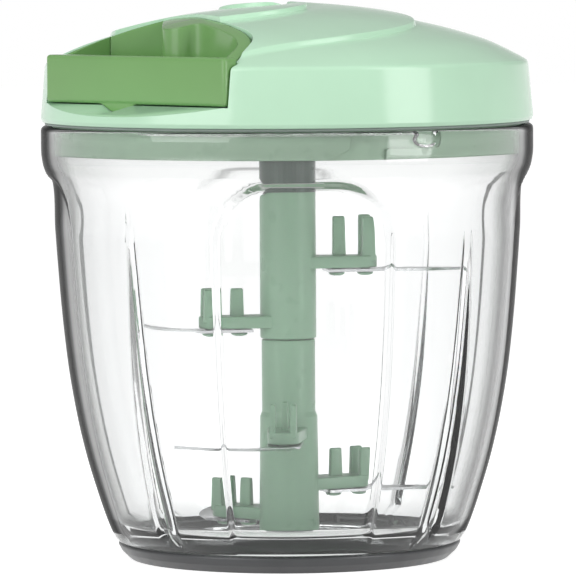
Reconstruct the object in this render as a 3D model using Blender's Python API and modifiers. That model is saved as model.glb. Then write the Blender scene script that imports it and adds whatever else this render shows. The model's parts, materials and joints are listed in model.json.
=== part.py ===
"""Manual pull cord food chopper, modelled piece by piece in metres, +Z up.

The origin is on the bowl's axis at the bottom of its non-slip ring. The handle pulls out along -Y.
Seen from above, pulling the handle turns the spool, the hub and the blade column anticlockwise.
Heights are measured from the ground and radii from the bowl's axis, unless a comment says otherwise.
"""

import math

import bmesh
import bpy
from mathutils import Matrix, Vector

MM = 0.001
MERGE = 0.01 * MM
OVERRUN = 3.0 * MM
GAP = 0.3 * MM
TURN = 2.0 * math.pi

# Bowl
RIM_RADIUS = 62.4 * MM
RIM_TOP = 110.0 * MM
BAND_HEIGHT = 10.0 * MM
BOWL_WALL = 2.3 * MM
RIM_WALL = 2.4 * MM
RIM_STEP_DEPTH = 7.1 * MM
RIM_EDGE = 0.5 * MM
FLOOR_TOP = 4.6 * MM
FLOOR_THICKNESS = 2.4 * MM
FLOOR_EDGE_INSET = 9.6 * MM
FLOOR_SHELF_INSET = 5.6 * MM
PANEL_COUNT = 4
PANEL_FIRST_ANGLE = math.radians(-41.0)
PANEL_HALF_ANGLE = math.radians(21.4)
PANEL_DEPTH = 0.9 * MM
PANEL_DROP = 3.0 * MM
PANEL_BOTTOM = 11.0 * MM
PANEL_CORNER_ANGLE = math.radians(14.0)
PANEL_CORNER_HEIGHT = 16.0 * MM
PANEL_CORNER_STEPS = 4
PANEL_CUT_shares = (-0.75, -0.5, -0.25, 0.0, 0.25, 0.5, 0.75)
RIB_FIRST_ANGLE = math.radians(4.0)
RIB_DROP = 14.0 * MM
RIB_BOTTOM = 9.0 * MM
RIB_HALF_WIDTH = 3.2 * MM
RIB_STEPS = 6
RIB_TIP_share = 0.04
RIB_FADE_POWER = 0.7
FLUTE_DEPTH = 1.2 * MM
RIB_HEIGHT = 1.5 * MM
LUG_COUNT = 3
LUG_FIRST_ANGLE = math.radians(-10.8)
LUG_WIDTH = 7.0 * MM
LUG_HEIGHT = 3.2 * MM
LUG_DROP = 2.2 * MM
LUG_REACH = 1.15 * MM
PIN_BOSS_RADIUS = 4.0 * MM
PIN_BOSS_DEPTH = 1.5 * MM

# The bowl's outer side from the band down, as shares of the band's height and the rim's radius
BOWL_SIDE_shares = (
    (0.977, 0.979),
    (0.950, 0.966),
    (0.880, 0.951),
    (0.760, 0.937),
    (0.640, 0.922),
    (0.500, 0.898),
    (0.380, 0.867),
    (0.270, 0.828),
    (0.160, 0.776),
    (0.090, 0.737),
    (0.060, 0.716),
)

# Non-slip ring
RING_HEIGHT = 4.4 * MM
RING_TOP_INSET = 1.08 * MM
RING_FOOT_INSET = 3.2 * MM
RING_BELLY_INSET = 1.0 * MM
RING_BELLY_HEIGHT = 2.0 * MM
RING_FOOT_EDGE = 0.5 * MM

# Centre pin and foot bush
PIN_RADIUS = 2.0 * MM
PIN_TOP = 15.6 * MM
PIN_CROWN = 0.6 * MM
BUSH_FLANGE_RADIUS = 6.1 * MM
BUSH_FLANGE_THICKNESS = 1.3 * MM
BUSH_FLOOR_GAP = 0.5 * MM
BUSH_RADIUS = 4.4 * MM
BUSH_WALL_TOP = 1.6 * MM

# Blade column
COLUMN_FOOT_RADIUS = 7.65 * MM
COLUMN_WAIST_RADIUS = 7.3 * MM
COLUMN_WAIST_share = 0.3892
COLUMN_NECK_RADIUS = 6.8 * MM
COLUMN_JOINT_share = 0.6032
COLUMN_UPPER_RADIUS = 7.15 * MM
COLUMN_EDGE = 0.4 * MM
JOINT_KEY_RADIUS = 4.6 * MM
JOINT_KEY_LENGTH = 7.0 * MM
DRIVE_KEY_LENGTH = 9.0 * MM
KEY_SIDES = 6

# Blade arms from the top down: each arm's height as a share of the column's top, its angle, and
# its blade tip's radius as a share of the bowl's outer radius at that height
ARM_HEIGHT_shares = (0.7946, 0.6335, 0.3308, 0.1859, 0.1038)
ARM_ANGLES = tuple(math.radians(angle) for angle in (55.0, -125.0, -49.0, 71.0, -169.0))
BLADE_TIP_shares = (0.806, 0.808, 0.855, 0.859, 0.857)
UPPER_ARM_COUNT = 2
ARM_REACH = 23.0 * MM
ARM_ROOT_WIDTH = 11.0 * MM
ARM_TIP_WIDTH = 8.0 * MM
ARM_THICKNESS = 3.0 * MM
FIN_HEIGHT = 7.0 * MM
FIN_LENGTH = 3.6 * MM
FIN_WIDTH = 1.7 * MM
FIN_OUTER_PLACE = 20.4 * MM
FIN_INNER_PLACE = 13.2 * MM
FIN_SPREAD = 2.6 * MM
STAKE_RADIUS = 1.2 * MM
STAKE_HEAD_RADIUS = 2.1 * MM
STAKE_HEAD_HEIGHT = 0.8 * MM
STAKE_INNER_PLACE = 12.6 * MM
STAKE_OUTER_PLACE = 20.0 * MM
BLADE_THICKNESS = 0.7 * MM
BLADE_ROOT_PLACE = 9.6 * MM
BLADE_WIDTH = 8.6 * MM
BLADE_EDGE_THICKNESS = 0.2 * MM
BLADE_SWEEP = math.radians(34.0)
BLADE_SWEEP_POWER = 1.4
BLADE_TAPER_POWER = 0.75
BLADE_TIP_share = 0.02
BLADE_RIDGE_share = 0.35
BLADE_GROUND_share = 0.8
BLADE_TIP_RISE = 1.6 * MM
BLADE_ROWS = 14

# Lid base
PLATE_GAP = 1.3 * MM
PLATE_THICKNESS = 2.0 * MM
PLATE_INSET = 2.2 * MM
SKIRT_CLEARANCE = 0.4 * MM
SKIRT_WALL = 2.2 * MM
SKIRT_DEPTH = 6.8 * MM
GROOVE_DEPTH = 1.15 * MM
GROOVE_CLEARANCE = 0.4 * MM
GROOVE_END_ANGLE = math.radians(1.0)
GROOVE_CUT_shares = (-0.25, 0.0, 0.25, 0.5, 0.75, 1.0)
LID_TWIST = math.radians(15.0)
LEAD_IN_ANGLE = math.radians(5.5)
HUB_TUBE_WALL = 2.1 * MM
HUB_TUBE_DEPTH = 6.0 * MM

# Gasket
GASKET_THICKNESS = 0.7 * MM
GASKET_WIDTH = 1.1 * MM

# Top cover
COVER_OVERHANG = 0.1 * MM
COVER_SEAM = 1.0 * MM
COVER_SIDE = 14.9 * MM
COVER_EDGE = 0.6 * MM
SHOULDER_INSET = 1.5 * MM
SHOULDER_EDGE = 0.9 * MM
DOME_RISE = 14.0 * MM
COVER_WALL = 2.0 * MM
COVER_MOUTH_DEPTH = 2.6 * MM
CAVITY_shares = (0.25, 0.5, 0.75)
MID_WALL_shares = (0.2, 0.4, 0.6, 0.8, 0.95)
PETAL_COUNT = 3
PETAL_STEPS = 12
PETAL_RISE = 1.15 * MM
PETAL_FADE = 12.0 * MM
PETAL_HUB = 5.0 * MM
PETAL_STEP_share = 0.985
PETAL_TURN = math.radians(-45.0)
# The petal edge's turn in degrees at each share of the shoulder's radius
PETAL_EDGE_shares = (
    (1.000, -18.0),
    (0.934, -13.0),
    (0.870, -6.0),
    (0.810, 5.0),
    (0.750, 20.0),
    (0.680, 40.0),
    (0.600, 62.0),
    (0.500, 86.0),
    (0.380, 110.0),
    (0.250, 135.0),
    (0.130, 160.0),
    (0.050, 180.0),
)
BOSS_RADIUS = 3.6 * MM
BOSS_INSET = 14.2 * MM
BOSS_ANGLES = tuple(math.radians(angle) for angle in (15.0, 90.0, 165.0))
ARBOR_BOSS_RADIUS = 6.2 * MM

# Cover screws
SCREW_RADIUS = 1.25 * MM
SCREW_HEAD_RADIUS = 2.9 * MM
SCREW_HEAD_HEIGHT = 1.7 * MM
SCREW_GRIP = 11.0 * MM
SCREW_SLOT_WIDTH = 0.8 * MM
SCREW_SLOT_DEPTH = 0.8 * MM
SCREW_SLOT_share = 0.6

# Pull handle
RECESS_DEPTH = 9.0 * MM
BAR_END_GAP = 0.31 * MM
BAR_THICKNESS = 4.6 * MM
BAR_LIFT = 5.4 * MM
BAR_HEIGHT = 11.9 * MM
BAR_EDGE = 0.7 * MM
CUP_FLOOR = 2.0 * MM
CUP_WALL = 3.2 * MM
CUP_SIDE_WALL = 2.2 * MM
CUP_CLEARANCE = 0.5 * MM
CUP_CORNER_share = 0.6875
CUP_DROP = 0.25 * MM
CUP_LIMIT_shares = (0.2, 0.4, 0.55, 0.7, 0.8, 0.9, 1.0)
WING_THICKNESS = 1.2 * MM
WING_OVERHANG = 0.2 * MM
WING_STEPS = 4
TUB_WALL = 1.6 * MM
TUB_FLOOR = 1.5 * MM
SHELF_LIFT = 2.5 * MM
TAB_PLACE = -6.0 * MM
TAB_WIDTH = 13.4 * MM
TAB_DEPTH = 2.0 * MM
TAB_LENGTH = 3.4 * MM
TAB_STEPS = 8
KNOB_RADIUS = 5.2 * MM
KNOB_STEPS = 6
KNOB_START = math.radians(-5.0)
KNOB_END = math.radians(-135.0)

# The cup's right rim and back in plan: each row's X as a share of the bar's half width, and its
# distance back from the spool's clearance as a share of the way out to the bar's face
CUP_RIM_shares = (
    (0.955, 0.826),
    (0.880, 0.627),
    (0.790, 0.511),
    (0.640, 0.420),
    (0.400, 0.3375),
    (0.010, 0.213),
    (-0.250, 0.119),
)
# The fold at the finger hollow's back left, from the cup's corner, as shares of the side wall
CUP_FOLD_shares = (0.77, 0.64)

# Cord, knot and eyelet
CORD_DIAMETER = 1.6 * MM
WINDING_RADIUS = 16.0 * MM
WINDING_PITCH = 2.05 * MM
WINDING_TURNS = 3.9
WINDING_STEPS = 24
EYELET_X = -5.0 * MM
EYELET_ROOM = 1.6 * MM
LEAD_TURN_INSET = 0.6 * MM
LEAD_LIFT = 6.0 * MM
LEAD_BEND_RADIUS = 5.0 * MM
LEAD_shares = (0.2, 0.4, 0.6, 0.8)
LEAD_BEND_STEPS = 4
EYELET_BORE = 1.3 * MM
EYELET_WALL = 1.2 * MM
EYELET_FLANGE = 1.4 * MM
EYELET_FLANGE_THICKNESS = 1.0 * MM
EYELET_LENGTH = 3.2 * MM
EYELET_PAD_RADIUS = 4.8 * MM
KNOT_RADIUS = 2.1 * MM
KNOT_PLACE_share = 0.322
KNOT_WELL_RADIUS = 3.0 * MM
KNOT_WELL_HEADROOM = 3.6 * MM
CORD_HOLE = 0.5 * MM

# Spool, cap, arbor and mainspring
SPOOL_FLANGE_RADIUS = 19.6 * MM
SPOOL_FLANGE_THICKNESS = 1.5 * MM
SPOOL_HEIGHT = 13.1 * MM
SPOOL_CORE_WALL = 1.8 * MM
SPOOL_CAP_THICKNESS = 1.2 * MM
ARBOR_RADIUS = 3.0 * MM
ARBOR_GRIP = 4.6 * MM
ARBOR_FOOT = 2.9 * MM
SPRING_THICKNESS = 0.4 * MM
SPRING_TURNS = 5.5
SPRING_STEPS = 16

# Hub, ratchet and pawls
HUB_RADIUS = 7.15 * MM
HUB_NECK = 11.2 * MM
HUB_SOCKET_DEPTH = 9.4 * MM
HUB_CUP_HEIGHT = 5.0 * MM
HUB_CUP_RADIUS = 14.0 * MM
HUB_CUP_FLOOR = 1.4 * MM
HUB_EDGE = 0.4 * MM
WASHER_GROOVE_DEPTH = 0.9 * MM
WASHER_THICKNESS = 1.0 * MM
WASHER_RADIUS = 9.5 * MM
TOOTH_COUNT = 12
TOOTH_ROOT = 12.1 * MM
TOOTH_TIP = 10.5 * MM
TOOTH_RAMP_share = 0.995
PAWL_COUNT = 2
PAWL_CIRCLE = 6.0 * MM
PAWL_PIN_RADIUS = 1.4 * MM
PAWL_EYE_RADIUS = 2.7 * MM
PAWL_EYE_START = math.radians(130.0)
PAWL_EYE_SWEEP = math.radians(250.0)
PAWL_EYE_STEPS = 8
PAWL_THICKNESS = 2.6 * MM
PAWL_NOSE_ANGLE = math.radians(38.0)
PAWL_NOSE_OUTER = 11.1 * MM
PAWL_NOSE_INNER = 9.5 * MM
PAWL_SHOULDER_share = 0.8
# How far the nose stands back from its tooth, so that it can swing in past the tooth's tip
PAWL_LEAD = 1.9 * MM

BOWL_STEPS = 48
LID_STEPS = 40
PIECE_STEPS = 20
STAKE_STEPS = 8
SMALL_STEPS = 12

# Bowl and ring, from the rim down and in
RIM_INNER_RADIUS = RIM_RADIUS - RIM_WALL
BAND_BOTTOM = RIM_TOP - BAND_HEIGHT
RIM_STEP_HEIGHT = RIM_TOP - RIM_STEP_DEPTH
PANEL_TOP = BAND_BOTTOM - PANEL_DROP
RIB_TOP = BAND_BOTTOM - RIB_DROP
LUG_CENTRE_HEIGHT = RIM_TOP - LUG_DROP
RING_TOP_RADIUS = RIM_RADIUS * BOWL_SIDE_shares[-1][1] - RING_TOP_INSET
RING_BELLY_RADIUS = RING_TOP_RADIUS - RING_BELLY_INSET
RING_FOOT_RADIUS = RING_TOP_RADIUS - RING_FOOT_INSET
FLOOR_SHELF_RADIUS = RING_TOP_RADIUS - FLOOR_SHELF_INSET
FLOOR_EDGE_RADIUS = RING_TOP_RADIUS - FLOOR_EDGE_INSET
BOWL_BOTTOM = RING_HEIGHT + GAP

# Lid, from the rim up
SKIRT_RADIUS = RIM_INNER_RADIUS - SKIRT_CLEARANCE
SKIRT_BOTTOM = RIM_TOP - SKIRT_DEPTH
PLATE_RADIUS = RIM_RADIUS - PLATE_INSET
PLATE_BOTTOM = RIM_TOP + PLATE_GAP
PLATE_TOP = PLATE_BOTTOM + PLATE_THICKNESS
CUP_BASE = PLATE_TOP + GAP
BOSS_CIRCLE = PLATE_RADIUS - BOSS_INSET
COVER_RADIUS = RIM_RADIUS + COVER_OVERHANG
COVER_BOTTOM = RIM_TOP + COVER_SEAM
COVER_MOUTH_RADIUS = PLATE_RADIUS + GAP
SHOULDER_RADIUS = COVER_RADIUS - SHOULDER_INSET
SHOULDER_HEIGHT = COVER_BOTTOM + COVER_SIDE
DOME_TOP = SHOULDER_HEIGHT + DOME_RISE
SKY = DOME_TOP + OVERRUN * 2

# Hub and column, from the lid down
HUB_BORE = HUB_RADIUS + GAP
HUB_TUBE_BOTTOM = RIM_TOP - HUB_TUBE_DEPTH
HUB_BOTTOM = HUB_TUBE_BOTTOM - HUB_NECK
COLUMN_TOP = HUB_BOTTOM - GAP
COLUMN_JOINT_HEIGHT = COLUMN_TOP * COLUMN_JOINT_share
COLUMN_WAIST_HEIGHT = COLUMN_TOP * COLUMN_WAIST_share
ARM_HEIGHTS = tuple(COLUMN_TOP * share for share in ARM_HEIGHT_shares)

# Spool and its post, from the hub up
SPOOL_BOTTOM = CUP_BASE + HUB_CUP_HEIGHT + GAP
SPOOL_TOP = SPOOL_BOTTOM + SPOOL_HEIGHT
SPOOL_CORE_RADIUS = WINDING_RADIUS - CORD_DIAMETER / 2 - GAP
SPRING_CHAMBER = SPOOL_CORE_RADIUS - SPOOL_CORE_WALL
ARBOR_BORE = ARBOR_RADIUS + GAP
ARBOR_TOP = SPOOL_TOP + ARBOR_GRIP
ARBOR_BOTTOM = SPOOL_BOTTOM - ARBOR_FOOT

# Handle and cord
HANDLE_FACE = COVER_RADIUS - RECESS_DEPTH
BAR_HALF_WIDTH = math.sqrt(COVER_RADIUS**2 - HANDLE_FACE**2) - BAR_END_GAP
BAR_BOTTOM = COVER_BOTTOM + BAR_LIFT
BAR_TOP = BAR_BOTTOM + BAR_HEIGHT
TUB_TOP = BAR_BOTTOM - GAP
CUP_CORNER = BAR_HALF_WIDTH * CUP_CORNER_share
CUP_INNER = SPOOL_FLANGE_RADIUS + EYELET_ROOM
CUP_DEPTH = HANDLE_FACE - CUP_INNER
WING_BOTTOM = SHOULDER_HEIGHT + GAP
WING_RADIUS = SHOULDER_RADIUS + WING_OVERHANG
SHELF_OUTER_HEIGHT = COVER_BOTTOM + SHELF_LIFT
EYELET_INNER_Y = -CUP_INNER
LEAD_TURN_Y = EYELET_INNER_Y - LEAD_TURN_INSET
LEAD_HEIGHT = BAR_BOTTOM + LEAD_LIFT
KNOT_Y = -CUP_INNER - CUP_DEPTH * KNOT_PLACE_share
KNOT_WELL_TOP = LEAD_HEIGHT + KNOT_WELL_HEADROOM


def clear_scene():
    for obj in list(bpy.data.objects):
        bpy.data.objects.remove(obj, do_unlink=True)
    for collection in list(bpy.data.collections):
        bpy.data.collections.remove(collection)


def make_collection(name):
    collection = bpy.data.collections.new(name)
    bpy.context.scene.collection.children.link(collection)
    return collection


def make_material(name, colour, roughness, metallic=0.0, transmission=0.0):
    material = bpy.data.materials.new(name)
    material.use_nodes = True
    shader = material.node_tree.nodes["Principled BSDF"]
    shader.inputs["Base Color"].default_value = (*colour, 1.0)
    shader.inputs["Roughness"].default_value = roughness
    shader.inputs["Metallic"].default_value = metallic
    shader.inputs["Transmission Weight"].default_value = transmission
    return material


def mesh_object(name, bm, home):
    """Puts a finished bmesh into a new object, its faces pointing outwards."""
    bmesh.ops.recalc_face_normals(bm, faces=bm.faces)
    if bm.calc_volume(signed=True) < 0.0:
        bmesh.ops.reverse_faces(bm, faces=bm.faces)
    mesh = bpy.data.meshes.new(name)
    bm.to_mesh(mesh)
    bm.free()
    obj = bpy.data.objects.new(name, mesh)
    home.objects.link(obj)
    return obj


def turned(name, profile, steps, home):
    """A turned solid. The profile is (radius, height) points, its outer side running down."""
    mesh = bpy.data.meshes.new(name)
    points = [(radius, 0.0, height) for radius, height in profile]
    edges = [(i, i + 1) for i in range(len(points) - 1)]
    if min(radius for radius, _ in profile) > 0.0:
        edges.append((len(points) - 1, 0))
    mesh.from_pydata(points, edges, [])
    obj = bpy.data.objects.new(name, mesh)
    home.objects.link(obj)
    screw = obj.modifiers.new("Turn", "SCREW")
    screw.angle = TURN
    screw.steps = steps
    screw.render_steps = steps
    screw.use_merge_vertices = True
    screw.merge_threshold = MERGE
    screw.use_smooth_shade = True
    return obj


def disc(name, radius, bottom, top, steps, home, centre=(0.0, 0.0)):
    """A plain round post or hole cutter between two heights."""
    profile = [(0.0, top), (radius, top), (radius, bottom), (0.0, bottom)]
    obj = turned(name, profile, steps, home)
    obj.location = (*centre, 0.0)
    return obj


def prism(name, outline, bottom, top, home):
    """An upright prism over a plan outline."""
    bm = bmesh.new()
    verts = [bm.verts.new((x, y, bottom)) for x, y in outline]
    face = bm.faces.new(verts)
    extruded = bmesh.ops.extrude_face_region(bm, geom=[face])
    lifted = [item for item in extruded["geom"] if isinstance(item, bmesh.types.BMVert)]
    bmesh.ops.translate(bm, verts=lifted, vec=(0.0, 0.0, top - bottom))
    return mesh_object(name, bm, home)


def wrapped(name, outline, inner_radius, outer_radius, angle_cuts, height_cuts, home):
    """A pad wrapped round the axis. The outline is (angle, height) points, and the two radii
    are functions of height. It is cut at the given angles and heights so that it bends there."""
    bm = bmesh.new()
    verts = [bm.verts.new((angle, 0.0, height)) for angle, height in outline]
    face = bm.faces.new(verts)
    extruded = bmesh.ops.extrude_face_region(bm, geom=[face])
    outer = [item for item in extruded["geom"] if isinstance(item, bmesh.types.BMVert)]
    bmesh.ops.translate(bm, verts=outer, vec=(0.0, 1.0, 0.0))
    for angle in angle_cuts:
        geometry = bm.verts[:] + bm.edges[:] + bm.faces[:]
        bmesh.ops.bisect_plane(
            bm, geom=geometry, dist=MERGE, plane_co=(angle, 0.0, 0.0), plane_no=(1.0, 0.0, 0.0)
        )
    for height in height_cuts:
        geometry = bm.verts[:] + bm.edges[:] + bm.faces[:]
        bmesh.ops.bisect_plane(
            bm, geom=geometry, dist=MERGE, plane_co=(0.0, 0.0, height), plane_no=(0.0, 0.0, 1.0)
        )
    for vert in bm.verts:
        angle, side, height = vert.co
        radius = outer_radius(height) if side > 0.5 else inner_radius(height)
        vert.co = (radius * math.cos(angle), radius * math.sin(angle), height)
    return mesh_object(name, bm, home)


def loft(name, rings, home):
    """A solid through rings of points with equal counts, capped at both ends."""
    bm = bmesh.new()
    loops = []
    for ring in rings:
        verts = [bm.verts.new(point) for point in ring]
        edges = [bm.edges.new((verts[i - 1], verts[i])) for i in range(len(verts))]
        loops.append((verts, edges))
    for (_, lower), (_, upper) in zip(loops, loops[1:]):
        bmesh.ops.bridge_loops(bm, edges=lower + upper)
    bm.faces.new(loops[0][0])
    bm.faces.new(loops[-1][0])
    return mesh_object(name, bm, home)


def boolean(target, tool, operation):
    modifier = target.modifiers.new(operation.title(), "BOOLEAN")
    modifier.operation = operation
    modifier.solver = "EXACT"
    modifier.object = tool
    tool.display_type = "WIRE"
    tool.hide_render = True
    return target


def cut(target, tool):
    return boolean(target, tool, "DIFFERENCE")


def join(target, tool):
    return boolean(target, tool, "UNION")


def keep(target, tool):
    return boolean(target, tool, "INTERSECT")


def finish(obj, material, smooth=True):
    """Gives a piece its material and its smooth or flat shading."""
    obj.data.materials.clear()
    obj.data.materials.append(material)
    if smooth and not obj.modifiers:
        obj.data.shade_smooth()
        obj.data.set_sharp_from_angle(angle=math.radians(35.0))
    return obj


def polar(radius, angle):
    return (radius * math.cos(angle), radius * math.sin(angle))


def circle(radius, count, centre=(0.0, 0.0), start=0.0):
    points = []
    for i in range(count):
        x, y = polar(radius, start + TURN * i / count)
        points.append((centre[0] + x, centre[1] + y))
    return points


def offset_outline(outline, distance):
    """Moves each side of an anticlockwise outline outwards by a distance, with mitred corners."""
    moved = []
    count = len(outline)
    for i, point in enumerate(outline):
        before = Vector(outline[i - 1])
        here = Vector(point)
        after = Vector(outline[(i + 1) % count])
        first = (here - before).normalized()
        second = (after - here).normalized()
        normal_a = Vector((first.y, -first.x))
        normal_b = Vector((second.y, -second.x))
        mitre = (normal_a + normal_b).normalized()
        reach = distance / max(mitre.dot(normal_a), 0.5)
        moved.append(tuple(here + mitre * reach))
    return moved


def interpolate(table, value):
    """Reads a table of (key, value) rows, its keys falling, with straight runs between rows."""
    for (key_a, value_a), (key_b, value_b) in zip(table, table[1:]):
        if value >= key_b:
            share = (key_a - value) / (key_a - key_b)
            return value_a + (value_b - value_a) * min(max(share, 0.0), 1.0)
    return table[-1][1]


def bowl_outer(height):
    table = [(share * BAND_BOTTOM, radius * RIM_RADIUS) for share, radius in BOWL_SIDE_shares]
    return interpolate([(BAND_BOTTOM, RIM_RADIUS)] + table, height)


def dome_height(radius):
    """The low side of the cover's dome."""
    return DOME_TOP - (DOME_TOP - SHOULDER_HEIGHT) * (radius / SHOULDER_RADIUS) ** 2


def bowl_profile():
    """From the floor's middle up the inside, over the rim and down the outside."""
    side = [(radius * RIM_RADIUS, share * BAND_BOTTOM) for share, radius in BOWL_SIDE_shares]
    inside = [(radius - BOWL_WALL, height) for radius, height in reversed(side[1:])]
    inside[0] = (inside[0][0], max(inside[0][1], FLOOR_TOP + BOWL_WALL))
    ledge = BOWL_BOTTOM + BOWL_WALL
    profile = [(0.0, FLOOR_TOP), (FLOOR_EDGE_RADIUS, FLOOR_TOP), (FLOOR_SHELF_RADIUS, ledge)]
    profile += [point for point in inside if point[1] > ledge]
    profile += [
        (side[0][0] - BOWL_WALL, RIM_STEP_HEIGHT - OVERRUN),
        (RIM_INNER_RADIUS - RIM_EDGE * 2, RIM_STEP_HEIGHT),
        (RIM_INNER_RADIUS, RIM_STEP_HEIGHT),
        (RIM_INNER_RADIUS, RIM_TOP - RIM_EDGE / 2),
        (RIM_INNER_RADIUS + RIM_EDGE / 2, RIM_TOP),
        (RIM_RADIUS - RIM_EDGE, RIM_TOP),
        (RIM_RADIUS, RIM_TOP - RIM_EDGE),
        (RIM_RADIUS, BAND_BOTTOM),
    ]
    profile += side
    foot = FLOOR_EDGE_RADIUS + BOWL_WALL
    profile += [
        (RING_TOP_RADIUS + GAP, BOWL_BOTTOM + GAP),
        (RING_TOP_RADIUS, BOWL_BOTTOM),
        (foot, BOWL_BOTTOM),
        (foot, FLOOR_TOP - FLOOR_THICKNESS),
        (PIN_BOSS_RADIUS, FLOOR_TOP - FLOOR_THICKNESS),
        (PIN_BOSS_RADIUS, FLOOR_TOP - FLOOR_THICKNESS - PIN_BOSS_DEPTH),
        (0.0, FLOOR_TOP - FLOOR_THICKNESS - PIN_BOSS_DEPTH),
    ]
    return profile


def panel_outline(angle):
    """An arched panel, wide below with two rounded upper corners, as (angle, height) points."""
    points = [(angle - PANEL_HALF_ANGLE, PANEL_BOTTOM), (angle + PANEL_HALF_ANGLE, PANEL_BOTTOM)]
    for side in (1.0, -1.0):
        corner = []
        for i in range(PANEL_CORNER_STEPS + 1):
            bend = math.pi / 2 * i / PANEL_CORNER_STEPS
            reach = PANEL_HALF_ANGLE - PANEL_CORNER_ANGLE * (1.0 - math.cos(bend))
            rise = PANEL_TOP - PANEL_CORNER_HEIGHT * (1.0 - math.sin(bend))
            corner.append((angle + side * reach, rise))
        points += corner if side > 0 else corner[::-1]
    return points


def bowl_panel(angle, tools):
    cuts = [angle + PANEL_HALF_ANGLE * share for share in PANEL_CUT_shares]
    heights = [share * BAND_BOTTOM for share, _ in BOWL_SIDE_shares]
    return wrapped(
        "panel_cutter",
        panel_outline(angle),
        lambda height: bowl_outer(height) - PANEL_DEPTH,
        lambda height: bowl_outer(height) + OVERRUN,
        cuts,
        heights,
        tools,
    )


def bowl_wedge(name, angle, base_offset, tip_offset, tools):
    """A three-sided wedge along the wall that narrows to a point at its top. The offsets are
    counted inwards from the bowl's outer side."""
    rings = []
    for i in range(RIB_STEPS + 1):
        share = i / RIB_STEPS
        height = RIB_BOTTOM + (RIB_TOP - RIB_BOTTOM) * share
        fade = max(1.0 - share, RIB_TIP_share) ** RIB_FADE_POWER
        radius = bowl_outer(height)
        spread = RIB_HALF_WIDTH * fade / radius
        base = radius - base_offset
        tip = radius - base_offset + (base_offset - tip_offset) * fade
        rings.append(
            [
                (*polar(base, angle - spread), height),
                (*polar(tip, angle), height),
                (*polar(base, angle + spread), height),
            ]
        )
    return loft(name, rings, tools)


def make_bowl(home, tools, material):
    bowl = turned("bowl", bowl_profile(), BOWL_STEPS, home)
    for i in range(PANEL_COUNT):
        cut(bowl, bowl_panel(PANEL_FIRST_ANGLE + TURN * i / PANEL_COUNT, tools))
    for i in range(PANEL_COUNT):
        angle = RIB_FIRST_ANGLE + TURN * i / PANEL_COUNT
        root = BOWL_WALL - GAP
        join(bowl, bowl_wedge("rib_joiner", angle, root, BOWL_WALL + RIB_HEIGHT, tools))
        cut(bowl, bowl_wedge("flute_cutter", angle, -GAP, FLUTE_DEPTH, tools))
    for i in range(LUG_COUNT):
        angle = LUG_FIRST_ANGLE + TURN * i / LUG_COUNT
        lug = disc("lug_joiner", 1.0, -LUG_REACH, RIM_WALL / 2, SMALL_STEPS, tools)
        lug.scale = (LUG_HEIGHT / 2, LUG_WIDTH / 2, 1.0)
        lug.rotation_euler = (0.0, math.pi / 2, angle)
        lug.location = (*polar(RIM_INNER_RADIUS, angle), LUG_CENTRE_HEIGHT)
        join(bowl, lug)
    well = FLOOR_TOP - FLOOR_THICKNESS
    cut(bowl, disc("pin_well", PIN_RADIUS + GAP, well, FLOOR_TOP + OVERRUN, SMALL_STEPS, tools))
    return finish(bowl, material)


def make_base_ring(home, material):
    foot = FLOOR_EDGE_RADIUS + BOWL_WALL + GAP
    profile = [
        (RING_TOP_RADIUS, RING_HEIGHT),
        (RING_BELLY_RADIUS, RING_BELLY_HEIGHT),
        (RING_FOOT_RADIUS + RING_FOOT_EDGE, RING_FOOT_EDGE),
        (RING_FOOT_RADIUS, 0.0),
        (foot + RING_FOOT_EDGE, 0.0),
        (foot, RING_FOOT_EDGE),
        (foot, RING_HEIGHT),
    ]
    return finish(turned("base_ring", profile, LID_STEPS, home), material)


def make_centre_pin(home, material):
    bottom = FLOOR_TOP - FLOOR_THICKNESS + GAP
    profile = [
        (0.0, PIN_TOP),
        (PIN_RADIUS - PIN_CROWN, PIN_TOP),
        (PIN_RADIUS, PIN_TOP - PIN_CROWN),
        (PIN_RADIUS, bottom),
        (0.0, bottom),
    ]
    return finish(turned("centre_pin", profile, SMALL_STEPS, home), material)


def make_foot_bush(home, material):
    bottom = FLOOR_TOP + BUSH_FLOOR_GAP
    shelf = bottom + BUSH_FLANGE_THICKNESS
    bore = PIN_RADIUS + GAP
    ceiling = PIN_TOP + GAP
    profile = [
        (0.0, ceiling + BUSH_WALL_TOP),
        (BUSH_RADIUS, ceiling + BUSH_WALL_TOP),
        (BUSH_RADIUS, shelf),
        (BUSH_FLANGE_RADIUS, shelf),
        (BUSH_FLANGE_RADIUS, bottom),
        (bore, bottom),
        (bore, ceiling),
        (0.0, ceiling),
    ]
    return finish(turned("foot_bush", profile, PIECE_STEPS, home), material)


def key_block(name, radius, bottom, top, tools):
    return prism(name, circle(radius, KEY_SIDES), bottom, top, tools)


def placed(obj, angle, height, reach=0.0):
    """Puts an arm's piece at its height, turned to the arm's angle and moved out along it."""
    lift = Matrix.Translation((0.0, 0.0, height))
    out = Matrix.Translation((reach, 0.0, 0.0))
    obj.matrix_world = lift @ Matrix.Rotation(angle, 4, "Z") @ out
    return obj


def arm_outline():
    """Plan of an arm along +X, with a round end."""
    end = ARM_REACH - ARM_TIP_WIDTH / 2
    points = [(0.0, -ARM_ROOT_WIDTH / 2), (end, -ARM_TIP_WIDTH / 2)]
    for i in range(1, 6):
        x, y = polar(ARM_TIP_WIDTH / 2, math.pi * (i / 6 - 0.5))
        points.append((end + x, y))
    points += [(end, ARM_TIP_WIDTH / 2), (0.0, ARM_ROOT_WIDTH / 2)]
    return points


def fin_outline(x, y):
    half_length = FIN_LENGTH / 2
    half_width = FIN_WIDTH / 2
    return [
        (x - half_length, y - half_width),
        (x + half_length, y - half_width),
        (x + half_length, y + half_width),
        (x - half_length, y + half_width),
    ]


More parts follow.
